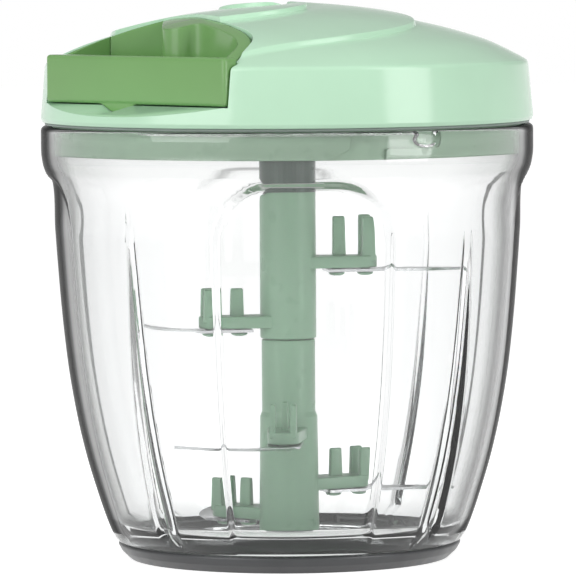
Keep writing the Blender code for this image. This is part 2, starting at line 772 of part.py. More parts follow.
def make_arm(angle, height, tools):
    """An arm with three upright fins above and two stakes with flat heads below. Its own
    origin is on the column's axis at the arm's underside."""
    arm = prism("arm_joiner", arm_outline(), 0.0, ARM_THICKNESS, tools)
    places = ((FIN_OUTER_PLACE, FIN_SPREAD), (FIN_OUTER_PLACE, -FIN_SPREAD), (FIN_INNER_PLACE, 0.0))
    root = ARM_THICKNESS / 2
    top = ARM_THICKNESS + FIN_HEIGHT
    for x, y in places:
        fin = prism("fin_joiner", fin_outline(x, y), root, top, tools)
        join(arm, placed(fin, angle, height))
    for x in (STAKE_INNER_PLACE, STAKE_OUTER_PLACE):
        below = BLADE_THICKNESS + GAP * 2
        profile = [
            (0.0, ARM_THICKNESS / 2),
            (STAKE_RADIUS, ARM_THICKNESS / 2),
            (STAKE_RADIUS, -below),
            (STAKE_HEAD_RADIUS, -below),
            (STAKE_HEAD_RADIUS, -below - STAKE_HEAD_HEIGHT / 2),
            (STAKE_RADIUS, -below - STAKE_HEAD_HEIGHT),
            (0.0, -below - STAKE_HEAD_HEIGHT),
        ]
        stake = turned("stake_joiner", profile, STAKE_STEPS, tools)
        join(arm, placed(stake, angle, height, x))
    return placed(arm, angle, height)


def make_lower_column(home, tools, material):
    foot = FLOOR_TOP + BUSH_FLOOR_GAP + BUSH_FLANGE_THICKNESS + GAP
    bore = BUSH_RADIUS + GAP
    ceiling = PIN_TOP + BUSH_WALL_TOP + GAP * 2
    joint = COLUMN_JOINT_HEIGHT - GAP
    profile = [
        (0.0, joint),
        (COLUMN_NECK_RADIUS - COLUMN_EDGE, joint),
        (COLUMN_NECK_RADIUS, joint - COLUMN_EDGE),
        (COLUMN_NECK_RADIUS, COLUMN_WAIST_HEIGHT),
        (COLUMN_WAIST_RADIUS, COLUMN_WAIST_HEIGHT - COLUMN_EDGE),
        (COLUMN_FOOT_RADIUS, foot + COLUMN_EDGE),
        (COLUMN_FOOT_RADIUS - COLUMN_EDGE, foot),
        (bore, foot),
        (bore, ceiling),
        (0.0, ceiling),
    ]
    column = turned("lower_column", profile, PIECE_STEPS, home)
    key_top = joint + JOINT_KEY_LENGTH
    join(column, key_block("lower_key", JOINT_KEY_RADIUS, joint - OVERRUN, key_top, tools))
    well = disc("bush_well", bore, foot - OVERRUN, ceiling, PIECE_STEPS, tools)
    arms = list(zip(ARM_ANGLES, ARM_HEIGHTS))[UPPER_ARM_COUNT:]
    for angle, height in arms:
        join(column, make_arm(angle, height, tools))
    cut(column, well)
    return finish(column, material)


def make_upper_column(home, tools, material):
    profile = [
        (0.0, COLUMN_TOP),
        (COLUMN_UPPER_RADIUS - COLUMN_EDGE, COLUMN_TOP),
        (COLUMN_UPPER_RADIUS, COLUMN_TOP - COLUMN_EDGE),
        (COLUMN_UPPER_RADIUS, COLUMN_JOINT_HEIGHT + COLUMN_EDGE),
        (COLUMN_UPPER_RADIUS - COLUMN_EDGE, COLUMN_JOINT_HEIGHT),
        (0.0, COLUMN_JOINT_HEIGHT),
    ]
    column = turned("upper_column", profile, PIECE_STEPS, home)
    key_top = COLUMN_TOP + DRIVE_KEY_LENGTH
    join(column, key_block("drive_key", JOINT_KEY_RADIUS, COLUMN_TOP - OVERRUN, key_top, tools))
    for angle, height in list(zip(ARM_ANGLES, ARM_HEIGHTS))[:UPPER_ARM_COUNT]:
        join(column, make_arm(angle, height, tools))
    mouth = COLUMN_JOINT_HEIGHT - OVERRUN
    socket_top = COLUMN_JOINT_HEIGHT + JOINT_KEY_LENGTH
    cut(column, key_block("joint_socket", JOINT_KEY_RADIUS + GAP, mouth, socket_top, tools))
    return finish(column, material)


def blade_surface(tip_radius):
    """The blade's upper face along +X, three points wide: back, ridge and cutting edge. It
    sweeps back clockwise from its straight root, narrows to its tip and lifts a little there."""
    bm = bmesh.new()
    bmesh.ops.create_grid(bm, x_segments=BLADE_ROWS, y_segments=2, size=1.0)
    for vert in bm.verts:
        along = (vert.co.x + 1.0) / 2.0
        across = vert.co.y
        reach = BLADE_ROOT_PLACE + (tip_radius - BLADE_ROOT_PLACE) * along
        swept = max((reach - ARM_REACH) / (tip_radius - ARM_REACH), 0.0)
        width = blade_half_width(swept)
        turn = -BLADE_SWEEP * swept**BLADE_SWEEP_POWER
        spread = BLADE_RIDGE_share if across == 0.0 else across
        x, y = polar(reach, turn)
        side = Vector((-math.sin(turn), math.cos(turn)))
        rise = BLADE_TIP_RISE * swept**2
        vert.co = (x + side.x * width * spread, y + side.y * width * spread, rise)
    return bm


def blade_half_width(swept):
    """Half the blade's width at a share of its swept part, from the arm's end to the tip."""
    return BLADE_WIDTH / 2 * max(1.0 - swept, BLADE_TIP_share) ** BLADE_TAPER_POWER


def make_blade(number, angle, height, tip_radius, home, tools, material):
    """A flat sickle blade of even sheet, ground thin from below along its leading edge."""
    bm = blade_surface(tip_radius)
    extruded = bmesh.ops.extrude_face_region(bm, geom=bm.faces[:])
    lower = [item for item in extruded["geom"] if isinstance(item, bmesh.types.BMVert)]
    bmesh.ops.translate(bm, verts=lower, vec=(0.0, 0.0, -BLADE_THICKNESS))
    for vert in lower:
        radius = math.hypot(vert.co.x, vert.co.y)
        swept = max((radius - ARM_REACH) / (tip_radius - ARM_REACH), 0.0)
        turn = math.atan2(vert.co.y, vert.co.x)
        ahead = (turn + BLADE_SWEEP * swept**BLADE_SWEEP_POWER) * radius
        if swept > 0.0 and ahead > blade_half_width(swept) * BLADE_GROUND_share:
            vert.co.z += BLADE_THICKNESS - BLADE_EDGE_THICKNESS
    blade = mesh_object(f"blade_{number}", bm, home)
    for x in (STAKE_INNER_PLACE, STAKE_OUTER_PLACE):
        hole = disc("stake_hole", STAKE_RADIUS + GAP, -OVERRUN, OVERRUN, STAKE_STEPS, tools)
        cut(blade, placed(hole, angle, height, x))
    placed(blade, angle, height - GAP)
    return finish(blade, material)


def groove_outline(angle):
    """One bayonet groove in plan of (angle, height): open below at its entry, with a slanting
    lead-in, then level to the lug's locked place."""
    half_lug = LUG_WIDTH / 2 / SKIRT_RADIUS
    floor = LUG_CENTRE_HEIGHT - LUG_HEIGHT / 2 - GROOVE_CLEARANCE
    ceiling = LUG_CENTRE_HEIGHT + LUG_HEIGHT / 2 + GROOVE_CLEARANCE
    mouth = SKIRT_BOTTOM - OVERRUN
    entry = angle - LID_TWIST
    left = entry - half_lug - GROOVE_END_ANGLE
    right = entry + half_lug + GROOVE_END_ANGLE
    end = angle + half_lug + GROOVE_END_ANGLE
    return [
        (left - LEAD_IN_ANGLE, mouth),
        (right, mouth),
        (right, floor - GROOVE_CLEARANCE),
        (right + GROOVE_END_ANGLE, floor),
        (end, floor),
        (end, ceiling),
        (left, ceiling),
        (left, floor),
        (left - LEAD_IN_ANGLE, SKIRT_BOTTOM),
    ]


def make_lid_base(home, tools, material):
    profile = [
        (PLATE_RADIUS, PLATE_TOP),
        (PLATE_RADIUS, PLATE_BOTTOM),
        (SKIRT_RADIUS, PLATE_BOTTOM),
        (SKIRT_RADIUS, SKIRT_BOTTOM),
        (SKIRT_RADIUS - SKIRT_WALL, SKIRT_BOTTOM),
        (SKIRT_RADIUS - SKIRT_WALL, PLATE_BOTTOM),
        (HUB_BORE + HUB_TUBE_WALL, PLATE_BOTTOM),
        (HUB_BORE + HUB_TUBE_WALL, HUB_TUBE_BOTTOM),
        (HUB_BORE, HUB_TUBE_BOTTOM),
        (HUB_BORE, PLATE_TOP),
    ]
    base = turned("lid_base", profile, LID_STEPS, home)
    for i in range(LUG_COUNT):
        angle = LUG_FIRST_ANGLE + TURN * i / LUG_COUNT
        start = angle - LID_TWIST
        groove = wrapped(
            "groove_cutter",
            groove_outline(angle),
            lambda height: SKIRT_RADIUS - GROOVE_DEPTH,
            lambda height: SKIRT_RADIUS + OVERRUN,
            [start + LID_TWIST * share for share in GROOVE_CUT_shares],
            [],
            tools,
        )
        cut(base, groove)
    low = PLATE_BOTTOM - OVERRUN
    high = PLATE_TOP + OVERRUN
    for angle in BOSS_ANGLES:
        centre = polar(BOSS_CIRCLE, angle)
        cut(base, disc("plate_hole", SCREW_RADIUS + GAP, low, high, SMALL_STEPS, tools, centre))
    return finish(base, material)


def make_gasket(home, material):
    inner = RIM_INNER_RADIUS + GAP
    bottom = RIM_TOP + GAP
    profile = [
        (inner + GASKET_WIDTH, bottom + GASKET_THICKNESS),
        (inner + GASKET_WIDTH, bottom),
        (inner, bottom),
        (inner, bottom + GASKET_THICKNESS),
    ]
    return finish(turned("seal_ring", profile, LID_STEPS, home), material)


def cup_rim_points():
    return [(x * BAR_HALF_WIDTH, -CUP_INNER - out * CUP_DEPTH) for x, out in CUP_RIM_shares]


def cup_outline():
    """The handle's plan, anticlockwise: bar, right rim, curved back, flat left wall."""
    points = [(-BAR_HALF_WIDTH, -HANDLE_FACE), (BAR_HALF_WIDTH, -HANDLE_FACE)]
    points.append((BAR_HALF_WIDTH, -HANDLE_FACE + BAR_THICKNESS / 2))
    points += cup_rim_points()
    points += [(-CUP_CORNER, -CUP_CORNER), (-BAR_HALF_WIDTH, -BAR_HALF_WIDTH)]
    return points


def wing_outline(radius):
    """The corner that reaches left over the cover's shoulder, in plan."""
    start = math.radians(-135.0)
    end = -math.atan2(HANDLE_FACE, -BAR_HALF_WIDTH)
    inner = BAR_HALF_WIDTH - BAR_THICKNESS
    points = [(-inner, -inner)]
    for i in range(WING_STEPS + 1):
        points.append(polar(radius, start + (end - start) * i / WING_STEPS))
    points.append((-inner, -HANDLE_FACE + BAR_THICKNESS / 2))
    return points


def cover_solid(name, home):
    """The cover's filled outside: a spun profile whose dome is turned into three petals."""
    rings = [share * SHOULDER_RADIUS for share, _ in PETAL_EDGE_shares[1:]]
    profile = [(0.0, DOME_TOP)]
    profile += [(radius, dome_height(radius)) for radius in reversed(rings)]
    edge = SHOULDER_RADIUS - SHOULDER_EDGE
    profile += [
        (edge, dome_height(edge)),
        (SHOULDER_RADIUS, SHOULDER_HEIGHT - SHOULDER_EDGE),
        (COVER_RADIUS, COVER_BOTTOM + COVER_EDGE),
        (COVER_RADIUS - COVER_EDGE / 2, COVER_BOTTOM),
        (0.0, COVER_BOTTOM),
    ]
    bm = bmesh.new()
    verts = [bm.verts.new((radius, 0.0, height)) for radius, height in profile]
    edges = [bm.edges.new(pair) for pair in zip(verts, verts[1:])]
    steps = PETAL_COUNT * PETAL_STEPS
    bmesh.ops.spin(
        bm, geom=verts + edges, axis=(0.0, 0.0, 1.0), cent=(0.0, 0.0, 0.0),
        angle=TURN, steps=steps, use_merge=True
    )
    bmesh.ops.remove_doubles(bm, verts=bm.verts, dist=MERGE)
    table = [(share * SHOULDER_RADIUS, math.radians(turn)) for share, turn in PETAL_EDGE_shares]
    for vert in bm.verts:
        raise_petal(vert, table)
    bmesh.ops.triangulate(bm, faces=bm.faces)
    return mesh_object(name, bm, home)


def raise_petal(vert, table):
    """Turns a dome point along the petal's edge and lifts it by its place on its petal."""
    radius = math.hypot(vert.co.x, vert.co.y)
    if radius < MERGE:
        return
    angle = math.atan2(vert.co.y, vert.co.x) % TURN
    place = angle / TURN * PETAL_COUNT
    petal = math.floor(place + 0.25 / PETAL_STEPS)
    last = (PETAL_STEPS - 1) / PETAL_STEPS
    share = (place - petal) / last * PETAL_STEP_share
    on_dome = vert.co.z > SHOULDER_HEIGHT - SHOULDER_EDGE / 2
    turn = interpolate(table, min(radius, SHOULDER_RADIUS)) + PETAL_TURN
    fade = min((SHOULDER_RADIUS - radius) / PETAL_FADE, radius / PETAL_HUB, 1.0)
    lift = PETAL_RISE * share * max(fade, 0.0) if on_dome else 0.0
    angle = (petal + share) * TURN / PETAL_COUNT + turn
    vert.co = (radius * math.cos(angle), radius * math.sin(angle), vert.co.z + lift)


def cover_cavity(tools):
    """The cover's inside, which leaves solid ground under the shelf and the bar."""
    mouth = COVER_BOTTOM + COVER_MOUTH_DEPTH
    shoulder = SHOULDER_RADIUS - COVER_WALL
    profile = [(0.0, DOME_TOP - COVER_WALL)]
    for share in CAVITY_shares:
        radius = shoulder * share
        profile.append((radius, dome_height(radius) - COVER_WALL))
    profile += [
        (shoulder, dome_height(shoulder) - COVER_WALL),
        (COVER_MOUTH_RADIUS, mouth),
        (COVER_MOUTH_RADIUS, COVER_BOTTOM - OVERRUN),
        (0.0, COVER_BOTTOM - OVERRUN),
    ]
    cavity = turned("cover_cavity", profile, LID_STEPS, tools)
    front = -COVER_RADIUS - OVERRUN
    back = -HANDLE_FACE + BAR_THICKNESS + CUP_CLEARANCE
    outline = [(front, front), (-front, front), (-front, back), (front, back)]
    return cut(cavity, prism("shelf_ground", outline, CUP_BASE + GAP / 4, SKY, tools))


def shelf_cutter(tools):
    """Opens the skirt in front of the bar: a block whose underside slopes from the bar's
    lower edge down to the skirt's surface."""
    half = BAR_HALF_WIDTH + CUP_CLEARANCE
    inner = -HANDLE_FACE + BAR_THICKNESS
    front = -COVER_RADIUS - OVERRUN
    slope = (TUB_TOP - SHELF_OUTER_HEIGHT) / (COVER_RADIUS - HANDLE_FACE)
    low = SHELF_OUTER_HEIGHT - slope * OVERRUN
    section = [
        (inner, TUB_TOP),
        (-HANDLE_FACE, TUB_TOP),
        (front, low),
        (front, SKY),
        (inner, SKY),
    ]
    rings = [[(side, y, z) for y, z in section] for side in (-half, half)]
    return loft("shelf_cutter", rings, tools)


def tab_outline(clearance):
    """The half-round tab under the bar, as (x, height) points below the bar's lower edge."""
    points = []
    for i in range(TAB_STEPS + 1):
        angle = math.pi * i / TAB_STEPS
        x = TAB_PLACE - math.cos(angle) * (TAB_WIDTH / 2 + clearance)
        points.append((x, BAR_BOTTOM - math.sin(angle) * (TAB_DEPTH + clearance)))
    return points


def tab_block(name, clearance, back, front, tools):
    lower = tab_outline(clearance)
    top = BAR_BOTTOM + BAR_EDGE * 2
    section = lower + [(lower[-1][0], top), (lower[0][0], top)]
    rings = [[(x, y, z) for x, z in section] for y in (back, front)]
    return loft(name, rings, tools)


def mid_wall(tools):
    """Everything below the middle of the cover's wall, which trims what hangs from it."""
    half = COVER_WALL / 2
    profile = [(0.0, DOME_TOP - half)]
    for share in MID_WALL_shares:
        radius = SHOULDER_RADIUS * share
        profile.append((radius, dome_height(radius) - half))
    profile += [
        (SHOULDER_RADIUS - half, SHOULDER_HEIGHT - COVER_WALL),
        (COVER_RADIUS - half, COVER_BOTTOM + COVER_MOUTH_DEPTH),
        (COVER_RADIUS - half, COVER_BOTTOM - OVERRUN),
        (0.0, COVER_BOTTOM - OVERRUN),
    ]
    return turned("mid_wall", profile, LID_STEPS, tools)


def make_top_cover(home, tools, material):
    cover = cover_solid("top_cover", home)
    cut(cover, cover_cavity(tools))
    limit = mid_wall(tools)
    join_bosses(cover, limit, tools)
    outline = offset_outline(cup_outline(), CUP_CLEARANCE + TUB_WALL)
    tub = prism("tub_joiner", outline, TUB_TOP - TUB_FLOOR, SKY, tools)
    join(cover, keep(tub, limit))
    pad = disc("eyelet_pad", EYELET_PAD_RADIUS, 0.0, 2 * TUB_WALL, PIECE_STEPS, tools)
    pad.rotation_euler = (math.pi / 2, 0.0, 0.0)
    pad.location = (EYELET_X, EYELET_INNER_Y - EYELET_FLANGE_THICKNESS - GAP, LEAD_HEIGHT)
    join(cover, pad)
    open_recess(cover, tools)
    return finish(cover, material)


def join_bosses(cover, limit, tools):
    """Adds the bored posts that take the screws and the arbor, trimmed to the cover's wall."""
    low = CUP_BASE - OVERRUN
    high = PLATE_TOP + SCREW_GRIP
    for angle in BOSS_ANGLES:
        centre = polar(BOSS_CIRCLE, angle)
        boss = disc("boss_joiner", BOSS_RADIUS, CUP_BASE, SKY, SMALL_STEPS, tools, centre)
        keep(boss, limit)
        cut(boss, disc("boss_bore", SCREW_RADIUS + GAP, low, high, SMALL_STEPS, tools, centre))
        join(cover, boss)
    low = SPOOL_TOP - OVERRUN
    high = ARBOR_TOP + GAP
    boss = disc("arbor_boss", ARBOR_BOSS_RADIUS, SPOOL_TOP + GAP, SKY, PIECE_STEPS, tools)
    keep(boss, limit)
    cut(boss, disc("arbor_bore", ARBOR_BORE, low, high, PIECE_STEPS, tools))
    join(cover, boss)


def open_recess(cover, tools):
    """Cuts the cover open for the handle's cup, wing, bar and tab, and for the eyelet."""
    pocket = offset_outline(cup_outline(), CUP_CLEARANCE)
    cut(cover, prism("pocket_cutter", pocket, TUB_TOP, SKY, tools))
    wing = offset_outline(wing_outline(COVER_RADIUS + OVERRUN), CUP_CLEARANCE)
    cut(cover, prism("wing_cutter", wing, WING_BOTTOM - GAP, SKY, tools))
    cut(cover, shelf_cutter(tools))
    back = -HANDLE_FACE + TAB_LENGTH + CUP_CLEARANCE
    cut(cover, tab_block("tab_notch", GAP, back, -COVER_RADIUS - OVERRUN, tools))
    bore = EYELET_BORE + EYELET_WALL + GAP
    hole = disc("eyelet_hole", bore, -OVERRUN, 3 * OVERRUN, PIECE_STEPS, tools)
    hole.rotation_euler = (math.pi / 2, 0.0, 0.0)
    hole.location = (EYELET_X, EYELET_INNER_Y, LEAD_HEIGHT)
    cut(cover, hole)


def handle_dome(name, tools):
    """Everything under the dome's surface, for trimming the cup's rim to it."""
    profile = [(0.0, DOME_TOP - CUP_DROP + PETAL_RISE / 2)]
    for share in CUP_LIMIT_shares:
        radius = SHOULDER_RADIUS * share
        height = dome_height(radius) - CUP_DROP + PETAL_RISE / 2 * (1.0 - share)
        profile.append((radius, height))
    profile += [
        (COVER_RADIUS, SHOULDER_HEIGHT - SHOULDER_EDGE),
        (COVER_RADIUS, PLATE_BOTTOM),
        (0.0, PLATE_BOTTOM),
    ]
    return turned(name, profile, LID_STEPS, tools)


def left_wall_end():
    """Where the inside of the cup's flat left wall ends at its front, in plan."""
    return (-BAR_HALF_WIDTH + CUP_SIDE_WALL, -BAR_HALF_WIDTH - CUP_SIDE_WALL / 2)


def finger_outline():
    """The hollow behind the bar, in plan, anticlockwise. Its back bulges round the knot well and
    runs straight from the bulge to a fold at the flat left wall."""
    front = -HANDLE_FACE + BAR_THICKNESS
    knob = []
    for i in range(KNOB_STEPS + 1):
        x, y = polar(KNOB_RADIUS, KNOB_START + (KNOB_END - KNOB_START) * i / KNOB_STEPS)
        knob.append((EYELET_X + x, KNOT_Y + y))
    right = offset_outline(cup_outline(), -CUP_WALL)[3:-3]
    points = [(-BAR_HALF_WIDTH + CUP_SIDE_WALL, front), (right[0][0] - CUP_WALL / 2, front)]
    for point in right:
        if point[1] > front + CUP_WALL / 2 and point[0] > knob[0][0] + CUP_WALL:
            points.append(point)
    points += knob
    right_shift, front_shift = (share * CUP_SIDE_WALL for share in CUP_FOLD_shares)
    points.append((-CUP_CORNER + right_shift, -CUP_CORNER - front_shift))
    points.append(left_wall_end())
    return points


def bar_plan(margin, depth):
    """The bar's plan with a margin at its front and ends, reaching back by a depth."""
    half = BAR_HALF_WIDTH + margin
    front = -HANDLE_FACE - margin
    back = -HANDLE_FACE + depth
    return [(-half, front), (half, front), (half, back), (-half, back)]


def wing_hollow_outline():
    """The open ground above the wing, in plan: everything left of the cup's flat left wall."""
    wall_x, wall_y = left_wall_end()
    reach = CUP_CORNER * 2
    return [
        (wall_x, wall_y),
        (wall_x - reach, wall_y - reach),
        (wall_x - reach, -HANDLE_FACE * 2),
        (wall_x, -HANDLE_FACE * 2),
    ]


def make_pull_handle(home, tools, material):
    handle = prism("pull_handle", cup_outline(), BAR_BOTTOM, SKY, home)
    keep(handle, handle_dome("cup_limit", tools))
    wing = prism("wing_joiner", wing_outline(WING_RADIUS), WING_BOTTOM, SKY, tools)
    join(handle, keep(wing, handle_dome("wing_limit", tools)))
    lee = prism("wing_hollow", wing_hollow_outline(), WING_BOTTOM + WING_THICKNESS, SKY, tools)
    cut(handle, lee)
    block = prism("bar_joiner", bar_plan(0.0, BAR_THICKNESS), BAR_BOTTOM, BAR_TOP, tools)
    bevel = block.modifiers.new("Soft edges", "BEVEL")
    bevel.width = BAR_EDGE
    bevel.segments = 2
    low = BAR_BOTTOM - OVERRUN
    high = SKY + OVERRUN
    cut(handle, prism("front_trim", bar_plan(BAR_EDGE, BAR_THICKNESS / 2), low, high, tools))
    join(handle, block)
    cut(handle, prism("bar_trim", bar_plan(OVERRUN, BAR_THICKNESS + GAP), BAR_TOP, high, tools))
    cut(handle, prism("finger_cutter", finger_outline(), BAR_BOTTOM + CUP_FLOOR, SKY, tools))
    join(handle, tab_block("tab_joiner", 0.0, -HANDLE_FACE + TAB_LENGTH, -HANDLE_FACE, tools))
    centre = (EYELET_X, KNOT_Y)
    well = disc("knot_well", KNOT_WELL_RADIUS, low, KNOT_WELL_TOP, SMALL_STEPS, tools, centre)
    cut(handle, well)
    bore = CORD_DIAMETER / 2 + CORD_HOLE
    hole = disc("cord_hole", bore, 0.0, LEAD_TURN_Y - KNOT_Y, SMALL_STEPS, tools)
    hole.rotation_euler = (math.pi / 2, 0.0, 0.0)
    hole.location = (EYELET_X, LEAD_TURN_Y, LEAD_HEIGHT)
    cut(handle, hole)
    return finish(handle, material)


def screw_profile():
    under = PLATE_BOTTOM - GAP
    tip = PLATE_TOP + SCREW_GRIP - GAP * 2
    return [
        (0.0, tip),
        (SCREW_RADIUS / 2, tip),
        (SCREW_RADIUS, tip - SCREW_RADIUS),
        (SCREW_RADIUS, under),
        (SCREW_HEAD_RADIUS, under),
        (SCREW_HEAD_RADIUS, under - SCREW_HEAD_HEIGHT / 2),
        (SCREW_HEAD_RADIUS - SCREW_RADIUS / 2, under - SCREW_HEAD_HEIGHT),
        (0.0, under - SCREW_HEAD_HEIGHT),
    ]


def make_screws(home, tools, material):
    bottom = PLATE_BOTTOM - GAP - SCREW_HEAD_HEIGHT
    low = bottom - SCREW_SLOT_DEPTH
    high = bottom + SCREW_SLOT_DEPTH
    long = SCREW_HEAD_RADIUS * SCREW_SLOT_share
    half = SCREW_SLOT_WIDTH / 2
    outline = [(-long, -half), (long, -half), (long, half), (-long, half)]
    for number, angle in enumerate(BOSS_ANGLES, start=1):
        screw = turned(f"cover_screw_{number}", screw_profile(), SMALL_STEPS, home)
        screw.location = (*polar(BOSS_CIRCLE, angle), 0.0)
        for turn in (0.0, math.pi / 2):
            slot = prism("drive_slot", outline, low, high, tools)
            slot.rotation_euler = (0.0, 0.0, turn)
            slot.location = screw.location
            cut(screw, slot)
        finish(screw, material)


def make_arbor(home, material):
    edge = ARBOR_RADIUS / 6
    profile = [
        (0.0, ARBOR_TOP),
        (ARBOR_RADIUS - edge, ARBOR_TOP),
        (ARBOR_RADIUS, ARBOR_TOP - edge),
        (ARBOR_RADIUS, ARBOR_BOTTOM + edge),
        (ARBOR_RADIUS - edge, ARBOR_BOTTOM),
        (0.0, ARBOR_BOTTOM),
    ]
    return finish(turned("arbor", profile, PIECE_STEPS, home), material)


def make_spool(home, tools, material):
    floor = SPOOL_BOTTOM + SPOOL_FLANGE_THICKNESS
    shelf = SPOOL_TOP - SPOOL_FLANGE_THICKNESS
    profile = [
        (SPOOL_FLANGE_RADIUS, SPOOL_TOP),
        (SPOOL_FLANGE_RADIUS, shelf),
        (SPOOL_CORE_RADIUS, shelf),
        (SPOOL_CORE_RADIUS, floor),
        (SPOOL_FLANGE_RADIUS, floor),
        (SPOOL_FLANGE_RADIUS, SPOOL_BOTTOM),
        (ARBOR_BORE, SPOOL_BOTTOM),
        (ARBOR_BORE, floor),
        (SPRING_CHAMBER, floor),
        (SPRING_CHAMBER, SPOOL_TOP),
    ]
    spool = turned("spool", profile, LID_STEPS, home)
    for i in range(PAWL_COUNT):
        centre = polar(PAWL_CIRCLE, TURN * i / PAWL_COUNT)
        bottom = SPOOL_BOTTOM - PAWL_THICKNESS - GAP
        join(spool, disc("pawl_pin", PAWL_PIN_RADIUS, bottom, floor - GAP, SMALL_STEPS, tools, centre))
    return finish(spool, material)


def make_spool_cap(home, material):
    top = SPOOL_TOP - GAP
    bottom = top - SPOOL_CAP_THICKNESS
    outer = SPRING_CHAMBER - GAP
    profile = [(outer, top), (outer, bottom), (ARBOR_BORE, bottom), (ARBOR_BORE, top)]
    return finish(turned("spool_cap", profile, PIECE_STEPS, home), material)


def make_mainspring(home, material):
    """A flat strip wound as an even spiral between the arbor and the spool's chamber wall."""
    inner = ARBOR_RADIUS + GAP
    outer = SPRING_CHAMBER - GAP - SPRING_THICKNESS
    count = round(SPRING_TURNS * SPRING_STEPS)
    sides = ([], [])
    for i in range(count + 1):
        share = i / count
        angle = TURN * SPRING_TURNS * share
        radius = inner + (outer - inner) * share
        sides[0].append(polar(radius, angle))
        sides[1].append(polar(radius + SPRING_THICKNESS, angle))
    bottom = SPOOL_BOTTOM + SPOOL_FLANGE_THICKNESS + GAP
    top = SPOOL_TOP - SPOOL_CAP_THICKNESS - GAP * 2
    rings = []
    for near, far in zip(sides[0], sides[1]):
        rings.append([(*near, bottom), (*far, bottom), (*far, top), (*near, top)])
    return finish(loft("mainspring", rings, home), material, smooth=False)


def lead_start():
    """Where the cord leaves the winding: the tangent point from the eyelet's turn."""
    turn = Vector((EYELET_X, LEAD_TURN_Y))
    angle = math.atan2(turn.y, turn.x) - math.acos(WINDING_RADIUS / turn.length)
    return angle, Vector(polar(WINDING_RADIUS, angle))


def cord_route():
    """The winding from its top turn down, the straight lead, its bend at the eyelet and the
    short straight end to the knot."""
    start_angle, leave = lead_start()
    low = SPOOL_BOTTOM + SPOOL_FLANGE_THICKNESS + GAP + CORD_DIAMETER / 2
    points = []
    count = round(WINDING_TURNS * WINDING_STEPS)
    for i in range(count + 1):
        left = WINDING_TURNS * (1.0 - i / count)
        x, y = polar(WINDING_RADIUS, start_angle - TURN * left)
        points.append(Vector((x, y, low + WINDING_PITCH * left)))
    turn = Vector((EYELET_X, LEAD_TURN_Y))
    inward = (turn - leave).normalized()
    outward = Vector((0.0, -1.0))
    swing = math.acos(inward.dot(outward))
    tangent = LEAD_BEND_RADIUS * math.tan(swing / 2)
    first = turn - inward * tangent
    last = turn + outward * tangent
    for share in LEAD_shares:
        flat = leave.lerp(first, share)
        ease = share * share * (3.0 - 2.0 * share)
        points.append(Vector((flat.x, flat.y, low + (LEAD_HEIGHT - low) * ease)))
    for i in range(LEAD_BEND_STEPS + 1):
        share = i / LEAD_BEND_STEPS
        flat = first.lerp(turn, share).lerp(turn.lerp(last, share), share)
        points.append(Vector((flat.x, flat.y, LEAD_HEIGHT)))
    end = KNOT_Y + KNOT_RADIUS + GAP
    for share in (0.5, 1.0):
        points.append(Vector((EYELET_X, last.y + (end - last.y) * share, LEAD_HEIGHT)))
    return points


def report_cord_gap(points):
    """Prints the least gap between turns of the cord that aren't next to each other."""
    least = math.inf
    skip = WINDING_STEPS // 2
    for i, point in enumerate(points):
        for other in points[i + skip:]:
            least = min(least, (point - other).length)
    print(f"cord: least gap to itself {(least - CORD_DIAMETER) / MM:.2f} mm")


def make_pull_cord(home, material):
    points = cord_route()
    report_cord_gap(points)
    curve = bpy.data.curves.new("pull_cord", "CURVE")
    curve.dimensions = "3D"
    curve.bevel_depth = CORD_DIAMETER / 2
    curve.bevel_resolution = 1
    curve.use_fill_caps = True
    spline = curve.splines.new("POLY")
    spline.points.add(len(points) - 1)
    for spot, point in zip(spline.points, points):
        spot.co = (*point, 1.0)
    cord = bpy.data.objects.new("pull_cord", curve)
    home.objects.link(cord)
    curve.materials.append(material)
    return cord


def make_cord_knot(home, material):
    bm = bmesh.new()
    bmesh.ops.create_uvsphere(bm, u_segments=SMALL_STEPS, v_segments=SMALL_STEPS // 2, radius=KNOT_RADIUS)
    bmesh.ops.translate(bm, verts=bm.verts, vec=(EYELET_X, KNOT_Y, LEAD_HEIGHT))
    return finish(mesh_object("cord_knot", bm, home), material)


def make_cord_eyelet(home, material):
    """A flanged bush. Its profile is turned upright, and it then lies along the cord."""
    outer = EYELET_BORE + EYELET_WALL
    edge = EYELET_WALL / 3
    profile = [
        (outer + EYELET_FLANGE, 0.0),
        (outer + EYELET_FLANGE, -EYELET_FLANGE_THICKNESS),
        (outer, -EYELET_FLANGE_THICKNESS),
        (outer, -EYELET_LENGTH),
        (EYELET_BORE + edge, -EYELET_LENGTH),
        (EYELET_BORE, -EYELET_LENGTH + edge),
        (EYELET_BORE, -edge),
        (EYELET_BORE + edge, 0.0),
    ]
    eyelet = turned("cord_eyelet", profile, PIECE_STEPS, home)
    eyelet.rotation_euler = (-math.pi / 2, 0.0, 0.0)
    eyelet.location = (EYELET_X, EYELET_INNER_Y, LEAD_HEIGHT)
    return finish(eyelet, material)


